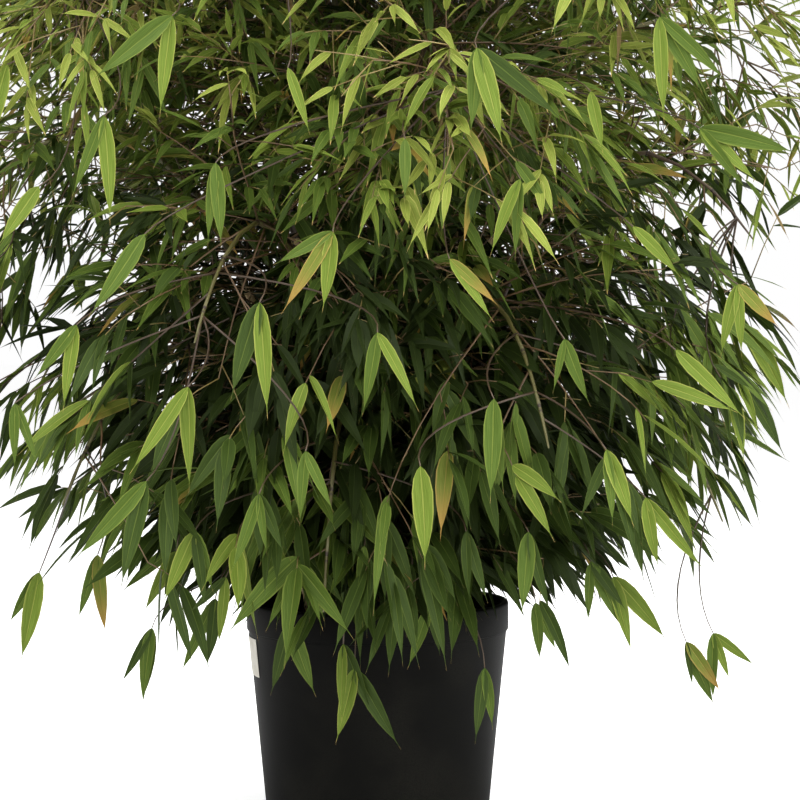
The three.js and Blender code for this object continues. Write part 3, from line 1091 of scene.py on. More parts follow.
@dataclass
class Clump:
    """Canes that leave the soil in a spiral, by the same rule as the solids: tall ones in the middle."""

    crown: Crown
    soil_top: float
    count: int = 27
    first: float = 292.0
    turn_wander: float = 8.0
    highest: float = 1.0
    lowest: float = -0.8
    inset: float = 0.82
    tip_wander: float = 0.020
    inner_foot: float = 0.008
    outer_foot: float = 0.100
    foot_radius: float = 0.0052
    tip_radius: float = 0.0014
    sway: float = 0.014
    lean: float = 0.1
    rise: float = 0.210
    rise_share: float = 0.46
    aim: float = 0.44
    droop: float = 0.345
    droop_share: float = -0.24
    sides: int = 8
    node_height: float = 0.0022
    sheath_rows: int = 5
    sheath_columns: int = 7
    highest_sheath: float = 0.42  # as a share of the cane
    sheathed: float = 0.7  # how many of the internodes below it have one
    canes: list[Cane] = field(default_factory=list)

    def lay_out(self) -> None:
        """Lays out every cane's curve."""
        for i in range(self.count):
            stream = Stream(1000 + 37 * i)
            share = (i + 0.5) / self.count
            turn = self.first + SPIRAL * i + self.turn_wander * stream.wander()
            level = mix(self.highest, self.lowest, share)
            above = level * (self.crown.above if level > 0 else self.crown.below)
            tip = self.crown.middle + self.inset * above + self.tip_wander * stream.wander()
            reach = self.inset * self.crown.reach(self.crown.middle + above, math.radians(turn))
            foot = mix(self.inner_foot, self.outer_foot, share)
            height = tip - self.soil_top
            side = polar(self.sway * stream.wander(), turn + 90, 0)
            lift = self.soil_top + self.rise + self.rise_share * height
            arch = tip + self.droop + self.droop_share * height
            handles = (
                polar(foot, turn, self.soil_top - 0.004),
                polar(foot + self.lean * reach, turn, lift) + side,
                polar(foot + self.aim * reach, turn, arch) - side,
                polar(reach, turn, tip),
            )
            tint = CaneTint.PURPLE if i % 3 == 1 else CaneTint.OLIVE
            self.canes.append(Cane(i + 1, handles, self.foot_radius, self.tip_radius, tint))

    def ringed(self, cane: Cane) -> tuple[list[Vector], list[float], list[float]]:
        """Returns a cane's points, radii and places along its internodes, with a ridge at each node.

        Args:
            cane: The cane.

        Returns:
            The three lists, of the same length.
        """
        shares, swell, along = [0.0], [1.0], [0.05]
        nodes = cane.node_shares()
        length = sum((cane.point((i + 1) / 20) - cane.point(i / 20)).length for i in range(20))
        for i, node in enumerate(nodes):
            step = self.node_height / length
            shares += [node - 3 * step, node - step, node, node + step]
            swell += [1.0, 1.24, 0.98, 1.16]
            along += [0.93, 0.985, 1.0, 0.02]
            after = nodes[i + 1] if i + 1 < len(nodes) else 1.0
            shares += [node + 3 * step, (node + after) / 2]
            swell += [1.0, 0.97]
            along += [0.06, 0.5]
        shares.append(1.0)
        swell.append(0.6)
        along.append(0.9)
        radii = [cane.radius(share) * size for share, size in zip(shares, swell)]
        return [cane.point(share) for share in shares], radii, along

    def build(self) -> None:
        """Builds the canes, those of one tint joined in one piece."""
        for tint in (CaneTint.OLIVE, CaneTint.PURPLE):
            chosen = [cane for cane in self.canes if cane.tint is tint]
            pieces = []
            for cane in chosen:
                tubes = Tubes(self.sides)
                tubes.add(*self.ringed(cane))
                pieces.append(tubes.build(f"culm_{cane.number}", [0]))
            joined = join(pieces, f"{tint.value.name}_canes")
            place(joined, tint.value, *(f"cane_{cane.number}" for cane in chosen))
            log.info("%s: %d canes, %d faces", joined.name, len(chosen), len(joined.data.polygons))
        self.build_sheaths()

    def build_sheaths(self) -> None:
        """Builds the papery sheaths that still wrap the lower internodes, open down one side."""
        shape = []
        for cane in self.canes:
            stream = Stream(5000 + 11 * cane.number)
            nodes = cane.node_shares()
            for i, node in enumerate(nodes[:-2]):
                if node > self.highest_sheath or stream.next() > self.sheathed:
                    continue
                end = mix(node, nodes[i + 1], stream.between(0.45, 0.8))
                shape.append((cane, node, end, 360 * stream.next(), stream.between(1.25, 1.5)))
        rows, columns = self.sheath_rows, self.sheath_columns
        points, uv = [], []
        for cane, start, end, turn, flare in shape:
            for r in range(rows):
                share = mix(start, end, r / (rows - 1))
                middle, way = cane.point(share), cane.heading(share)
                side = level_side(way)
                wrap = mix(330, 90, (r / (rows - 1)) ** 1.5)
                radius = cane.radius(share) * mix(1.15, flare, r / (rows - 1))
                for c in range(columns):
                    angle = turn + wrap * (c / (columns - 1) - 0.5)
                    points.append(tuple(middle + radius * turned(side, way, angle)))
                    uv.append((c / (columns - 1), mix(0.1, 0.7, r / (rows - 1))))
        grid = [
            [r * columns + c, r * columns + c + 1, (r + 1) * columns + c + 1, (r + 1) * columns + c]
            for r in range(rows - 1)
            for c in range(columns - 1)
        ]
        quads = repeated(np.array(grid), len(shape), rows * columns)
        no_triangles = np.zeros((0, 3), int)
        sheaths = array_mesh("culm_sheaths", np.array(points), quads, no_triangles, np.array(uv))
        place(sheaths, SHEATH)
        log.info("culm_sheaths: %d sheaths", len(shape))


def join(pieces: list[bpy.types.Object], name: str) -> bpy.types.Object:
    """Joins pieces into one.

    Args:
        pieces: The pieces.
        name: The joined piece's name.

    Returns:
        The joined piece.
    """
    deselect()
    for piece in pieces:
        piece.select_set(True)
    bpy.context.view_layer.objects.active = pieces[0]
    if len(pieces) > 1:
        bpy.ops.object.join()
    joined = pieces[0]
    joined.name = joined.data.name = name
    return joined


# ---------------------------------------------------------------- foliage


def station(path: list[Vector], share: float) -> tuple[Vector, int]:
    """Finds a place on a path of equal steps.

    Args:
        path: Its points.
        share: How far along it the place lies, from 0 to 1.

    Returns:
        The point, and the number of the step that it lies in.
    """
    steps = len(path) - 1
    step = min(int(share * steps), steps - 1)
    return path[step].lerp(path[step + 1], share * steps - step), step


@dataclass
class Foliage:
    """Branches, leafy twigs and leaves that grow on from the canes, within the crown's reach."""

    crown: Crown
    clump: Clump
    pot_radius: float
    pot_height: float
    limb_sides: int = 3
    hanging_sides: int = 4
    branch_steps: int = 5
    hanging_steps: int = 9
    twig_steps: int = 2
    branch_length: float = 0.205
    bunch: int = 13  # branches at a node
    spray_spacing: float = 0.0205
    leaf_length: float = 0.078
    leaf_slender: float = 0.185  # width against length
    fringe_twigs: int = 78
    front_sprays: int = 38
    pot_sprays: int = 15
    half_front: float = 0.36  # how far to each side the front sprays spread
    half_hanging: float = 0.39  # and those before and beside the pot
    highest_front: float = 0.88
    lowest: float = 0.075
    bare_height: float = 0.25  # below this and within the bare radius, only the sprays before the pot hang
    bare_radius: float = 0.3
    # painted light and shade: below the lower height leaves get shaded copies, towards the upper one lit
    # copies
    shading: tuple[float, float] = (0.4, 0.84)  # the heights between which the leaves turn from dark to light
    branch_radii: tuple[float, float] = (0.0013, 0.0007)
    hanging_radii: tuple[float, float] = (0.0012, 0.0007)
    twig_radii: tuple[float, float, float] = (0.0008, 0.0007, 0.0005)
    twig_length: tuple[float, float] = (0.016, 0.085)
    end_twig_length: tuple[float, float] = (0.02, 0.05)
    fringe_radius: tuple[float, float] = (0.340, 0.480)
    fringe_drop: tuple[float, float] = (0.02, 0.20)
    front: float = -0.76  # the sine of the turn past which the fringe leaves the front bare
    leaves: dict[LeafTint, Leaves] = field(init=False)
    branches: Tubes = field(init=False)
    hanging: Tubes = field(init=False)
    twigs: dict[CaneTint, Tubes] = field(init=False)
    stream: Stream = field(init=False)

    def __post_init__(self) -> None:
        """Makes the empty stores of leaves, branches and twigs."""
        self.leaves = {tint: Leaves() for tint in LeafTint}
        self.branches, self.hanging = Tubes(self.limb_sides), Tubes(self.hanging_sides)
        self.twigs = {tint: Tubes(self.limb_sides) for tint in (CaneTint.TWIG_GREEN, CaneTint.TWIG_BROWN)}

    def is_free(self, point: Vector, margin: float) -> bool:
        """Tells whether a point lies within the crown's reach and clear of the pot.

        Args:
            point: The point.
            margin: The least distance to the pot.

        Returns:
            True if something may grow there.
        """
        radius = math.hypot(point.x, point.y)
        if point.z < self.lowest or self.crown.depth(point) > 1.0:
            return False
        if point.z < self.bare_height and radius < self.bare_radius:
            return False
        return point.z >= self.pot_height + margin or radius >= self.pot_radius + margin

    def tint_for(self, point: Vector) -> LeafTint:
        """Deals a spray its tint by where it hangs, as painted light and shade: the lighter tints at the top
        and outside, the darker ones in the middle.

        Args:
            point: The spray's root.

        Returns:
            The tint.
        """
        exposure = self.crown.exposure(point)
        # painted light and shade: higher and more open sprays get lighter tints, deeper and lower ones darker
        light = mix(-0.36, 0.67, ease(point.z, *self.shading)) + 0.62 * exposure
        light = max(light + 0.42 * self.stream.wander(), 0.18 * exposure)
        steps = {LeafTint.LIT_FRESH: 0.86, LeafTint.BRIGHT: 0.64, LeafTint.GREEN: 0.4, LeafTint.DEEP: 0.16}
        return next((tint for tint, least in steps.items() if light > least), LeafTint.SHADE)

    def old_tint(self, low: float) -> LeafTint:
        """Returns the tint of a leaf that is past its best.

        Args:
            low: How low it hangs. Low in the crown it only fades from its tip.

        Returns:
            The tint.
        """
        age = self.stream.next()
        if age < 0.65 or low > 0.45:
            return LeafTint.FADING
        return LeafTint.YELLOWING if age < 0.8 else LeafTint.DRY

    def grow_leaf(self, root: Vector, heading: Vector, tint: LeafTint, size: float) -> bool:
        """Grows a leaf whose face looks up and outwards, where it has room.

        Args:
            root: Where it joins its twig.
            heading: The direction it sets out in.
            tint: Its tint.
            size: Its size against the usual leaf.

        Returns:
            True if it grew.
        """
        length = self.leaf_length * size * (1 + 0.24 * self.stream.wander())
        droop = self.stream.between(0.08, mix(0.7, 0.95, ease(root.z, 0.5, 0.9)))
        tip = root + length * (heading - Vector((0, 0, droop / DROOP_POWER)))
        clearance = 0.006
        if not self.is_free(tip, clearance) or not self.is_free(root.lerp(tip, 0.5), clearance):
            return False
        look = UP + outward(tip) * self.stream.between(0.4, 1.3)
        across = heading.cross(look)
        if across.length < 0.15:
            across = level_side(heading)
        across = turned(across.normalized(), heading, 42 * self.stream.wander())
        exposure = self.crown.exposure(tip)
        shape = OUTER_LEAF if exposure > 0.72 else (MIDDLE_LEAF if exposure > 0.35 else INNER_LEAF)
        self.add_leaf(root, heading, across, length, droop, tint, shape)
        return True

    def add_leaf(
        self, root: Vector, heading: Vector, across: Vector, length: float, droop: float, tint: LeafTint,
        shape: LeafShape,
    ) -> None:
        """Adds a leaf of a given length, with a width, fold, twist and bow of its own.

        Args:
            root: Where it joins its twig.
            heading: The direction it sets out in.
            across: The direction across its blade.
            length: Its length.
            droop: How far it bends down.
            tint: Its tint.
            shape: Its outline.
        """
        width = length * self.leaf_slender * (1 + 0.22 * self.stream.wander())
        fold = math.radians(self.stream.between(8, 30))
        twist = 0.8 * self.stream.wander()
        bow = 0.06 * self.stream.wander()
        row = (*root, *heading, *across, length, width, droop, fold, twist, bow)
        self.leaves[tint].rows[shape].append(row)

    def grow_spray(self, root: Vector, heading: Vector, length: float, count: int) -> int:
        """Grows a thin twig that carries a fan of leaves at its end.

        Args:
            root: Where it leaves its branch.
            heading: The direction it sets out in.
            length: Its length.
            count: How many leaves it should carry.

        Returns:
            How many it carries.
        """
        stream = self.stream
        low = 1 - ease(root.z, 0.3, 0.9)
        sag = mix(0.04, 0.24, low)
        way = heading.copy()
        path = [root]
        for _ in range(self.twig_steps):
            way = (way - UP * sag).normalized()
            path.append(path[-1] + way * (length / self.twig_steps))
        if not self.is_free(path[-1], 0.004) or stream.next() > math.sqrt(self.crown.fullness(path[-1])):
            return 0
        tint = self.tint_for(path[-1])
        plane = turned(level_side(way), way, 50 * stream.wander())
        fall = mix(0.12, 0.56, low)
        away = outward(root) * mix(0.2, 0.38, low)
        size = mix(0.6, 1.16, low)
        back, grown = 0.0, 0
        for k in range(count):
            side = 0 if k == 0 else (1 if k % 2 else -1)
            fan = math.radians(side * stream.between(16, 54) + 8 * stream.wander())
            out = way * math.cos(fan) + plane * math.sin(fan)
            out = (out + away - UP * fall * stream.between(0.1, 1.9)).normalized()
            out = turned(out, way.cross(plane), 16 * stream.wander())
            foot, _ = station(path, max(0.0, 1 - back / length))
            chance = stream.next()
            leaf_tint = tint if chance < 0.9 else self.tint_for(foot)
            if chance > mix(0.966, 0.988, low):
                leaf_tint = self.old_tint(low)
            grown += self.grow_leaf(foot, out, leaf_tint, size * (1.0 - 0.05 * k))
            back += stream.between(0.004, 0.016)
        if grown:
            twig_tint = CaneTint.TWIG_GREEN if stream.next() < mix(0.75, 0.35, low) else CaneTint.TWIG_BROWN
            self.twigs[twig_tint].add(path, list(self.twig_radii), [0.03, 0.5, 0.98])
        return grown

    def grow_branch(self, root: Vector, heading: Vector, length: float) -> None:
        """Grows a branch that sags along its way and carries sprays to each side in turn.

        Args:
            root: Where it leaves its cane.
            heading: The direction it sets out in.
            length: Its length.
        """
        stream = self.stream
        low = 1 - ease(root.z, 0.35, 1.1)
        sag = mix(0.03, 0.11, low) * stream.between(0.6, 1.4)
        way = heading.copy()
        path = [root]
        for _ in range(self.branch_steps):
            way = turned((way - UP * sag).normalized(), UP, 9 * stream.wander())
            path.append(path[-1] + way * (length / self.branch_steps))
            if not self.is_free(path[-1], 0.01):
                path[-1] = path[-2] + (path[-1] - path[-2]) * 0.2
        if stream.next() > math.sqrt(self.crown.fullness(path[3])):
            return
        first = stream.between(0.02, 0.2)
        sprays = max(2, round(length * (1 - first) / (self.spray_spacing * mix(0.4, 1.1, low))))
        grown, reached = 0, 0.0
        for k in range(sprays):
            share = mix(first, 0.97, (k + 0.5 * stream.next()) / sprays)
            here, step = station(path, share)
            inside = 1 - ease(self.crown.exposure(here), 0.0, 0.4)
            if self.crown.depth(here) < 0.3 * stream.next() or stream.next() < 0.3 * inside:
                continue
            along = (path[step + 1] - path[step]).normalized()
            side = turned(level_side(along), along, 90 * stream.wander()) * (1 if k % 2 else -1)
            fan = math.radians(stream.between(20, 70))
            out = along * math.cos(fan) + side * math.sin(fan)
            reach = stream.between(*self.twig_length)
            leaves = self.grow_spray(here, out, reach, 2 + int(3.2 * stream.next()))
            grown += leaves
            reached = share if leaves else reached
        along = (path[-1] - path[-2]).normalized()
        length = stream.between(*self.end_twig_length)
        leaves = self.grow_spray(path[-1], along, length, 3 + int(2 * stream.next()))
        if leaves:
            reached = 1.0
        if grown + leaves:
            self.add_branch(path, reached)

    def add_branch(self, path: list[Vector], reached: float) -> None:
        """Adds a branch's wood as far as its last spray.

        Args:
            path: Its points.
            reached: The share of its length where the last spray stands.
        """
        shares = [reached * i / self.branch_steps for i in range(self.branch_steps + 1)]
        points = [station(path, share)[0] for share in shares]
        radii = [mix(*self.branch_radii, share) for share in shares]
        self.branches.add(points, radii, [0.05, 0.3, 0.5, 0.7, 0.85, 0.95])

    def grow_on(self, cane: Cane) -> None:
        """Grows the branches of one cane, a few at each node, turned on by the spiral, and three at its tip.

        Args:
            cane: The cane.
        """
        stream = self.stream = Stream(2000 + 37 * cane.number)
        leafy = mix(0.24, 0.05, ease(cane.number, 4, 14))
        nodes = cane.node_shares()
        for i, node in enumerate(nodes):
            if node < leafy:
                continue
            bunch = round(self.bunch * mix(1.0, 0.45, ease(node, 0.6, 1.0)))
            for k in range(bunch):
                share = node + (node - nodes[i - 1]) * 0.4 * stream.wander()
                root, tangent = cane.point(share), cane.heading(share)
                turn = SPIRAL * i + 360 * k / bunch + 24 * stream.wander()
                heading = turned(level_side(tangent), tangent, turn)
                heading = (heading + tangent * stream.between(0.4, 0.9)).normalized()
                facing = heading.dot(outward(root))
                length = self.branch_length * mix(1.05, 0.72, share) * (1 + 0.28 * stream.wander())
                self.grow_branch(root, heading, length * mix(0.72, 1.1, ease(facing, -0.6, 0.5)))
        last = 0.97
        for _ in range(3):
            heading = turned(cane.heading(last), level_side(cane.heading(last)), 24 * stream.wander())
            heading = turned(heading, UP, 28 * stream.wander())
            self.grow_branch(cane.point(last), heading, self.branch_length * stream.between(0.45, 0.75))

    def hang_twig(self, knee: Vector, end: Vector, rise: float = 0.01) -> list[Vector]:
        """Grows a twig from the nearest cane above its bend, to a spray that hangs by itself.

        Args:
            knee: Where it bends.
            end: Where it ends.
            rise: How far its start stands above its bend at least.

        Returns:
            Its points.
        """
        starts = [cane.point(i / 30) for cane in self.clump.canes for i in range(3, 30)]
        above = [start for start in starts if start.z > knee.z + rise]
        start = min(above, key=lambda spot: (spot - knee).length)
        start = start if (start - knee).length > 0.02 else start + Vector((0, 0.02, 0.02))
        bend = knee + (knee - start).normalized() * 0.010
        shares = [i / self.hanging_steps for i in range(self.hanging_steps + 1)]
        path = [start.lerp(bend, share).lerp(bend.lerp(end, share), share) for share in shares]
        radii = [mix(*self.hanging_radii, share) for share in shares]
        self.hanging.add(path, radii, [mix(0.05, 0.95, share) for share in shares])
        return path

    def grow_fringe(self, number: int) -> None:
        """Grows a leafy twig that hangs below the crown's underside, at the sides and the back.

        Args:
            number: Its place in the spiral.
        """
        stream = self.stream
        turn = math.radians(SPIRAL * number)
        radius = stream.between(*self.fringe_radius)
        height = self.crown.underside(radius) - stream.between(*self.fringe_drop)
        end = Vector((radius * math.cos(turn), radius * math.sin(turn), height))
        if math.sin(turn) < self.front or not self.is_free(end, 0.01):
            return
        path = self.hang_twig(end - outward(end) * 0.06 + UP * 0.045, end, stream.between(0.0, 0.12))
        for root in path[self.hanging_steps // 2 :]:
            out = outward(root)
            for side in (-1, 1):
                lean = math.radians(stream.between(10, 62))
                swing = side * stream.between(0.0, 0.55)
                heading = out * math.sin(lean) + level_side(out) * swing - UP * math.cos(lean)
                # random painted light and shade: a fifth of the leaves get the lit copy, about a third the
                # shaded one
                lit_draw = stream.next()
                tint = LeafTint.BRIGHT if lit_draw < 0.2 else (LeafTint.GREEN if lit_draw < 0.68 else LeafTint.DEEP)
                self.grow_leaf(root, heading.normalized(), tint, stream.between(0.68, 1.12))

    def fan(self, count: int, lean: float, size: float, dark: float) -> list[tuple[float, float, LeafTint]]:
        """Sets out the leaves of a spray that hangs by itself.

        Args:
            count: How many.
            lean: How far they lean to the right on average, in degrees.
            size: The longest one's length.
            dark: The chance of a shaded one, a copy with painted shade.

        Returns:
            Each leaf's lean to the right in degrees, its length and its tint.
        """
        stream = self.stream
        leaves = []
        for i in range(count):
            spread = 25 * (i - 0.5 * (count - 1)) + 12 * stream.wander()
            # random painted light and shade: lit or mid-green copies, some swapped for the shaded copy
            tint = LeafTint.GREEN if stream.next() > 0.45 else LeafTint.BRIGHT
            tint = LeafTint.DEEP if stream.next() < dark else tint
            old = stream.next()
            tint = LeafTint.FADING if old > 0.95 else (LeafTint.YELLOWING if old > 0.93 else tint)
            leaves.append((lean + spread, size * stream.between(0.62, 1.0), tint))
        return leaves

    def grow_front_spray(self, number: int) -> None:
        """Grows a large spray on the front of the crown, by an even spread over it.

        Args:
            number: Its place in the spread.
        """
        stream = self.stream
        foot = self.pot_height + 0.05
        height = mix(foot, self.highest_front, ((number + 0.5) / self.front_sprays) ** 1.15)
        height += 0.02 * stream.wander()
        low = 1 - ease(height, foot, self.pot_height + 0.2)
        x = mix(self.half_front, 0.15, low) * (2 * ((number * GOLDEN_PART) % 1) - 1)
        root = Vector((x, -0.55, height))
        while self.crown.depth(root) > 0.93 and root.y < -0.1:
            root.y += 0.005
        root.y = mix(root.y, max(root.y, -0.26), low)
        count = 1 + int(2.4 * stream.next())
        size = mix(0.104, 0.084, low) * stream.between(0.72, 1.1)
        # painted shade: the lower the spray, the more of its leaves get the shaded copy
        leaves = self.fan(count, 70 * x + stream.between(-22, 36), size, mix(0.15, 0.6, low))
        self.hang_spray(Vector((root.x * 0.88, root.y + 0.075, root.z + 0.035)), root, leaves)

    def grow_pot_spray(self, number: int) -> None:
        """Grows a spray that hangs below the crown, before the pot or beside it.

        Args:
            number: Its place from left to right.
        """
        stream = self.stream
        x = self.half_hanging * ((2 * number + 1) / self.pot_sprays - 1) + 0.022 * stream.wander()
        beside = ease(abs(x), self.pot_radius, self.pot_radius + 0.1)
        y = mix(-self.pot_radius - 0.05, -0.1, beside)
        height = self.pot_height + mix(-0.09, 0.035, stream.next()) + 0.05 * beside
        lean = 60 * x + 10 * stream.wander()
        size = stream.between(0.078, 0.108)
        leaves = self.fan(2 + int(1.7 * stream.next()), lean, size, 0.4)
        knee = Vector((x * 0.93, y + 0.012, height + stream.between(0.045, 0.075)))
        self.hang_spray(knee, Vector((x, y, height)), leaves)

    def hang_spray(self, knee: Vector, root: Vector, leaves: list[tuple[float, float, LeafTint]]) -> None:
        """Hangs a spray from a thin twig, its leaves spread flat towards the front.

        Args:
            knee: Where the twig bends.
            root: Where it ends and the leaves start.
            leaves: Each leaf's lean to the right in degrees, its length and its tint.
        """
        wander = self.stream.wander
        self.hang_twig(knee, root)
        for lean, length, tint in leaves:
            angle = math.radians(lean + 4 * wander())
            heading = Vector((math.sin(angle), 0.12 * wander() - 0.05, -math.cos(angle))).normalized()
            across = heading.cross(Vector((0.25 * wander(), -1.0, 0.25 * wander()))).normalized()
            self.add_leaf(root, heading, across, length, 0.04, tint, OUTER_LEAF)

    def build(self) -> None:
        """Grows everything and builds it: branches and twigs by tint, then leaves by tint and shape."""
        for cane in self.clump.canes:
            self.grow_on(cane)
        self.stream = Stream(4321)
        for number in range(self.pot_sprays):
            self.grow_pot_spray(number)
        for number in range(self.front_sprays):
            self.grow_front_spray(number)
        for number in range(self.fringe_twigs):
            self.grow_fringe(number)
        self.build_limbs("branches", self.branches, CaneTint.TWIG_BROWN)
        self.build_limbs("hanging_twigs", self.hanging, CaneTint.TWIG_DARK)
        for tint, tubes in self.twigs.items():
            self.build_limbs(tint.value.name.replace("twig", "twigs"), tubes, tint)
        masses = [f"foliage_{cane.number}" for cane in self.clump.canes]
        total = 0
        for tint, store in self.leaves.items():
            for (shape, rows), layer in zip(store.rows.items(), ("outer", "middle", "inner")):
                most = MOST_TRIANGLES // (4 * (len(shape.stations) - 3) + 4)
                for part, start in enumerate(range(0, len(rows), most)):
                    some = rows[start : start + most]
                    leaves = store.build(f"{tint.value.name}_{layer}_{part + 1}", shape, np.array(some))
                    place(leaves, tint.value, *masses)
                    total += len(some)
                    log.info("%s: %d leaves", leaves.name, len(some))
        log.info("leaves in all: %d", total)

    def build_limbs(self, name: str, tubes: Tubes, tint: CaneTint) -> None:
        """Builds branches or twigs in pieces that are not too large.

        Args:
            name: The pieces' name.
            tubes: The limbs.
            tint: Their tint.
        """
        quads, triangles = tube_faces(len(tubes.paths[0]), tubes.sides)
        most = MOST_TRIANGLES // (2 * len(quads) + len(triangles))
        for part, start in enumerate(range(0, len(tubes.paths), most)):
            chosen = list(range(start, min(start + most, len(tubes.paths))))
            limbs = tubes.build(f"{name}_{part + 1}", chosen)
            place(limbs, tint.value)
            log.info("%s: %d limbs", limbs.name, len(chosen))


# ---------------------------------------------------------------- pot, soil and label


@dataclass
class Pot:
    """The moulded pot: a plain cone with a band round its rim and holes in its floor."""

    height: float
    rim_radius: float
    base_radius: float = 0.1215
    band_height: float = 0.032
    band_step: float = 0.002
    wall: float = 0.003
    lip: float = 0.004
    floor: float = 0.004
    drains: int = 6
    drain_radius: float = 0.007
    drain_circle: float = 0.082
    segments: int = 128

    def wall_at(self, height: float) -> float:
        """Returns the outside radius of the wall at a height below the band."""
        slope = (self.rim_radius - self.band_step - self.base_radius) / (self.height - self.band_height)
        return self.base_radius + slope * height

    def profile(self) -> list[tuple[float, float]]:
        """Sets out the pot's section, from the outside of the base over the rim to the floor.

        Returns:
            The radius and height of each ring.
        """
        foot = self.height - self.band_height
        edge = 0.0015
        rim, wall = self.rim_radius, self.wall
        return [
            (self.wall_at(0) - 0.012, 0.0),
            (self.wall_at(0) - edge, 0.0),
            (self.wall_at(0) - 0.0004, 0.0005),
            (self.wall_at(edge), edge),
            (self.wall_at(0.01), 0.01),
            (self.wall_at(foot / 2), foot / 2),
            (self.wall_at(foot - 0.0022), foot - 0.0022),
            (self.wall_at(foot - edge) + 0.0004, foot - 0.001),
            (rim - 0.0018, foot - 0.0002),
            (rim - 0.0004, foot + 0.0005),
            (rim, foot + 0.0018),
            (rim, self.height - 0.0035),
            (rim - 0.0005, self.height - 0.0013),
            (rim - 0.0018, self.height - 0.0002),
            (rim - wall - 0.002, self.height),
            (rim - wall - self.lip, self.height - 0.0008),
            (rim - wall - self.lip, self.height - wall),
            (rim - wall - 0.0015, self.height - wall),
            (rim - wall - 0.0015, foot),
            (self.wall_at(foot) - wall, foot - wall),
            (self.wall_at(self.floor) - wall, self.floor),
        ]

    def build(self) -> None:
        """Builds the pot: a disc drawn up ring by ring, then closed inside and drilled."""
        rings = self.profile()
        pot = draw_up("nursery_pot", rings, self.segments)
        bpy.ops.mesh.inset(thickness=rings[-1][0] * 0.6)
        face_outwards()
        self.drill(pot)
        bpy.context.view_layer.objects.active = pot
        pot.select_set(True)
        bpy.ops.object.transform_apply(location=True, rotation=True, scale=True)
        bpy.ops.object.shade_smooth_by_angle(angle=math.radians(38))
        place(pot, POT_PLASTIC, "pot")
        log.info("nursery_pot: %d faces", len(pot.data.polygons))

    def drill(self, pot: bpy.types.Object) -> None:
        """Cuts the drain holes through the floor.

        Args:
            pot: The pot.
        """
        drills = []
        for i in range(self.drains):
            deselect()
            bpy.ops.mesh.primitive_cylinder_add(
                vertices=24,
                radius=self.drain_radius,
                depth=4 * self.floor,
                location=polar(self.drain_circle, 360 * i / self.drains, self.floor / 2),
            )
            drills.append(bpy.context.object)
        cutter = join(drills, "drain_cutter")
        deselect()
        bpy.context.view_layer.objects.active = pot
        pot.select_set(True)
        cut = pot.modifiers.new("drains", "BOOLEAN")
        cut.operation, cut.object, cut.solver = "DIFFERENCE", cutter, "EXACT"
        bpy.ops.object.modifier_apply(modifier=cut.name)
        bpy.data.objects.remove(cutter)


@dataclass
class Label:
    """A blank paper sticker under the band, bent round the wall."""

    pot: Pot
    low: float
    high: float
    turn: float = 183.0
    half_turn: float = 20.0
    thick: float = 0.0004
    off: float = 0.0004

    def build(self) -> None:
        """Builds the sticker: a strip of a cone that is cut out, rounded at its corners and thickened."""
        deselect()
        bpy.ops.mesh.primitive_cone_add(
            vertices=240,
            radius1=self.pot.wall_at(self.low) + self.off,
            radius2=self.pot.wall_at(self.high) + self.off,
            depth=self.high - self.low,
            end_fill_type="NOTHING",
            location=(0, 0, (self.low + self.high) / 2),
        )
        label = bpy.context.object
        label.name = label.data.name = "paper_label"
        bpy.ops.object.transform_apply(location=True, rotation=True, scale=True)
        middle = polar(1, self.turn, 0)
        keep = math.cos(math.radians(self.half_turn))
        for face in label.data.polygons:
            face.select = face.center.to_2d().normalized().dot(middle.to_2d()) < keep
        bpy.ops.object.mode_set(mode="EDIT")
        bpy.ops.mesh.select_mode(type="FACE")
        bpy.ops.mesh.delete(type="FACE")
        bpy.ops.mesh.select_all(action="SELECT")
        bpy.ops.mesh.subdivide(number_cuts=3)
        face_outwards()
        paper = label.modifiers.new("paper", "SOLIDIFY")
        paper.thickness, paper.offset = self.thick, 1.0
        bpy.ops.object.modifier_apply(modifier=paper.name)
        bpy.ops.object.shade_smooth_by_angle(angle=math.radians(40))
        place(label, LABEL_PAPER, "label")
        log.info("paper_label: %d faces", len(label.data.polygons))


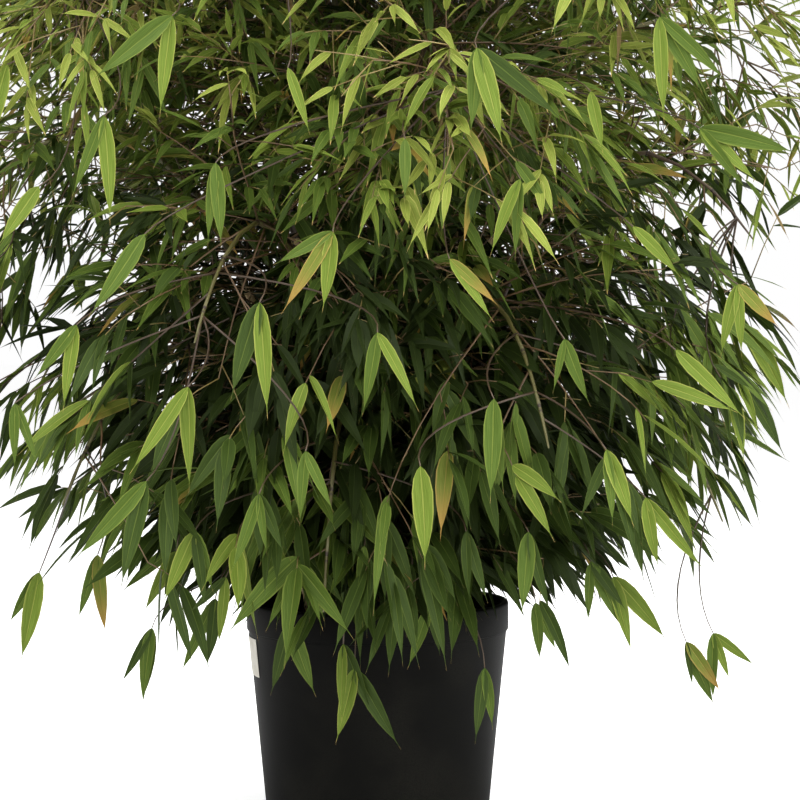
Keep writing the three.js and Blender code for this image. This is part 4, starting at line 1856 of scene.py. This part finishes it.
@dataclass
class Soil:
    """Bark potting soil: a rough surface with loose chips of bark on it."""

    pot: Pot
    top: float
    foot: float = 0.0045
    gap: float = 0.004  # to the pot's wall low down, and below its band
    segments: int = 64
    insets: int = 14
    rough: float = 0.003
    chips: int = 900
    chip_sides: int = 5
    chip_rings: tuple[tuple[float, float], ...] = ((-0.5, 0.45), (-0.2, 1.0), (0.25, 0.95), (0.5, 0.4))

    def build(self) -> None:
        """Builds the body of soil with its rough top, then the chips."""
        inside = self.pot.rim_radius - self.pot.wall - 0.002
        shoulder = self.pot.height - self.pot.band_height - self.gap
        rings = [
            (self.pot.wall_at(0.01) - self.gap, self.foot),
            (self.pot.wall_at(0.2) - 0.002, shoulder),
            (inside, self.top),
        ]
        soil = draw_up("soil_surface", rings, self.segments)
        for _ in range(self.insets):
            bpy.ops.mesh.inset(thickness=inside / (self.insets + 1.2))
        face_outwards()
        bpy.ops.object.transform_apply(location=True, rotation=True, scale=True)
        stream = Stream(77)
        for vertex in soil.data.vertices:
            if vertex.co.z > self.top - 0.001:
                vertex.co.z += self.rough * stream.wander() - 0.001
        bpy.ops.object.shade_smooth_by_angle(angle=math.radians(60))
        place(soil, SOIL_EARTH, "potting_soil")
        self.build_chips(inside)
        log.info("soil_surface: %d faces", len(soil.data.polygons))

    def build_chips(self, inside: float) -> None:
        """Builds the chips: short lumps with uneven corners, strewn over the soil.

        Args:
            inside: The radius they stay within.
        """
        for name, finish, seed in (("bark_chips_brown", BARK_BROWN, 91), ("bark_chips_dark", BARK_DARK, 92)):
            stream = Stream(seed)
            points, uv = [], []
            sides = self.chip_sides
            for _ in range(self.chips):
                middle = polar((inside - 0.008) * math.sqrt(stream.next()), 360 * stream.next(), self.top)
                middle.z += stream.between(-0.001, 0.004)
                long = stream.between(0.003, 0.010)
                way = polar(1, 360 * stream.next(), 0.5 * stream.wander()).normalized()
                side = level_side(way)
                rise = way.cross(side)
                for r, (at, wide) in enumerate(self.chip_rings):
                    for k in range(sides):
                        angle = 2 * math.pi * k / sides
                        size = 0.34 * long * wide * stream.between(0.7, 1.3)
                        lift = rise * (0.7 * size * math.sin(angle))
                        spot = way * (at * long) + side * (size * math.cos(angle)) + lift
                        points.append(tuple(middle + spot))
                        uv.append((k / sides, 0.2 + 0.2 * r))
            rings = len(self.chip_rings)
            faces = (repeated(some, self.chips, rings * sides) for some in tube_faces(rings, sides))
            chips = array_mesh(name, np.array(points), *faces, np.array(uv))
            place(chips, finish)
            log.info("%s: %d chips", name, self.chips)


# ---------------------------------------------------------------- stage


PALE = (0.9, 0.9, 0.9, 1.0)
WHITE = (1.0, 1.0, 1.0, 1.0)


@dataclass(frozen=True)
class Softbox:
    """A soft rectangular lamp that looks at a point."""

    name: str
    spot: tuple[float, float, float]
    size: tuple[float, float]
    power: float
    aim: tuple[float, float, float] = (0.0, 0.0, 0.65)

    def build(self) -> None:
        """Adds the lamp."""
        data = bpy.data.lights.new(self.name, "AREA")
        data.shape = "RECTANGLE"
        data.size, data.size_y = self.size
        data.energy = self.power
        lamp = bpy.data.objects.new(self.name, data)
        lamp.location = self.spot
        lamp.rotation_euler = (Vector(self.aim) - Vector(self.spot)).to_track_quat("-Z", "Y").to_euler()
        bpy.context.scene.collection.objects.link(lamp)


@dataclass
class Studio:
    """The pale floor, the white surround, the lamps and the camera."""

    camera_spot: tuple[float, float, float] = (0.025, -2.6, 0.57)
    camera_aim: tuple[float, float, float] = (0.025, 0.0, 0.485)
    lens: float = 105.0
    ambient: float = 0.4
    floor_lift: float = 0.62
    lamps: tuple[Softbox, ...] = (
        Softbox("key", (-1.4, -2.2, 3.0), (2.0, 2.0), 110.0),
        Softbox("right", (2.6, -1.8, 1.9), (1.6, 1.6), 84.0),
        Softbox("front", (0.4, -3.6, 1.7), (2.2, 1.6), 40.0),
        Softbox("top", (0.2, 0.2, 3.4), (2.6, 2.6), 170.0),
    )

    def build(self) -> None:
        """Builds the stage and sets the scene's camera and colour view."""
        scene = bpy.context.scene
        deselect()
        bpy.ops.mesh.primitive_plane_add(size=60.0, location=(0, 0, 0))
        floor = bpy.context.object
        floor.name = floor.data.name = "studio_floor"
        finish = bpy.data.materials.new("studio_white")
        finish.use_nodes = True
        board = Board(finish.node_tree)
        board.preset(Base_Color=PALE, Roughness=0.9, Emission_Color=WHITE)
        seen = board.node("ShaderNodeLightPath").outputs["Is Camera Ray"]
        board.feed(board.shader.inputs["Emission Strength"], board.maths("MULTIPLY", seen, self.floor_lift))
        floor.data.materials.append(finish)
        world = bpy.data.worlds.new("studio_surround")
        world.use_nodes = True
        surround = world.node_tree.nodes["Background"]
        surround.inputs["Color"].default_value = WHITE
        board = Board(world.node_tree)
        seen = board.node("ShaderNodeLightPath").outputs["Is Camera Ray"]
        strength = board.maths("MULTIPLY_ADD", seen, 1 - self.ambient, self.ambient)
        board.feed(surround.inputs["Strength"], strength)
        scene.world = world
        for lamp in self.lamps:
            lamp.build()
        lens = bpy.data.cameras.new("camera")
        lens.lens, lens.sensor_width = self.lens, 36.0
        camera = bpy.data.objects.new("camera", lens)
        camera.location = self.camera_spot
        aim = Vector(self.camera_aim) - Vector(self.camera_spot)
        camera.rotation_euler = aim.to_track_quat("-Z", "Y").to_euler()
        scene.collection.objects.link(camera)
        scene.camera = camera
        scene.view_settings.view_transform = "Standard"


def main() -> None:
    """Builds the studio, the pot and its soil, the canes and then their foliage."""
    logging.basicConfig(level=logging.INFO, format="%(message)s", stream=sys.stdout)
    Studio().build()
    pot_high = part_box("pot")[1]
    soil_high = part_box("potting_soil")[1]
    label_low, label_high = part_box("label")
    pot = Pot(height=pot_high.z, rim_radius=pot_high.x)
    pot.build()
    Label(pot, low=label_low.z, high=label_high.z).build()
    Soil(pot, top=soil_high.z).build()
    crown = Crown()
    clump = Clump(crown, soil_top=soil_high.z)
    clump.lay_out()
    clump.build()
    Foliage(crown, clump, pot_radius=pot.rim_radius, pot_height=pot.height).build()


if __name__ == "__main__":
    main()
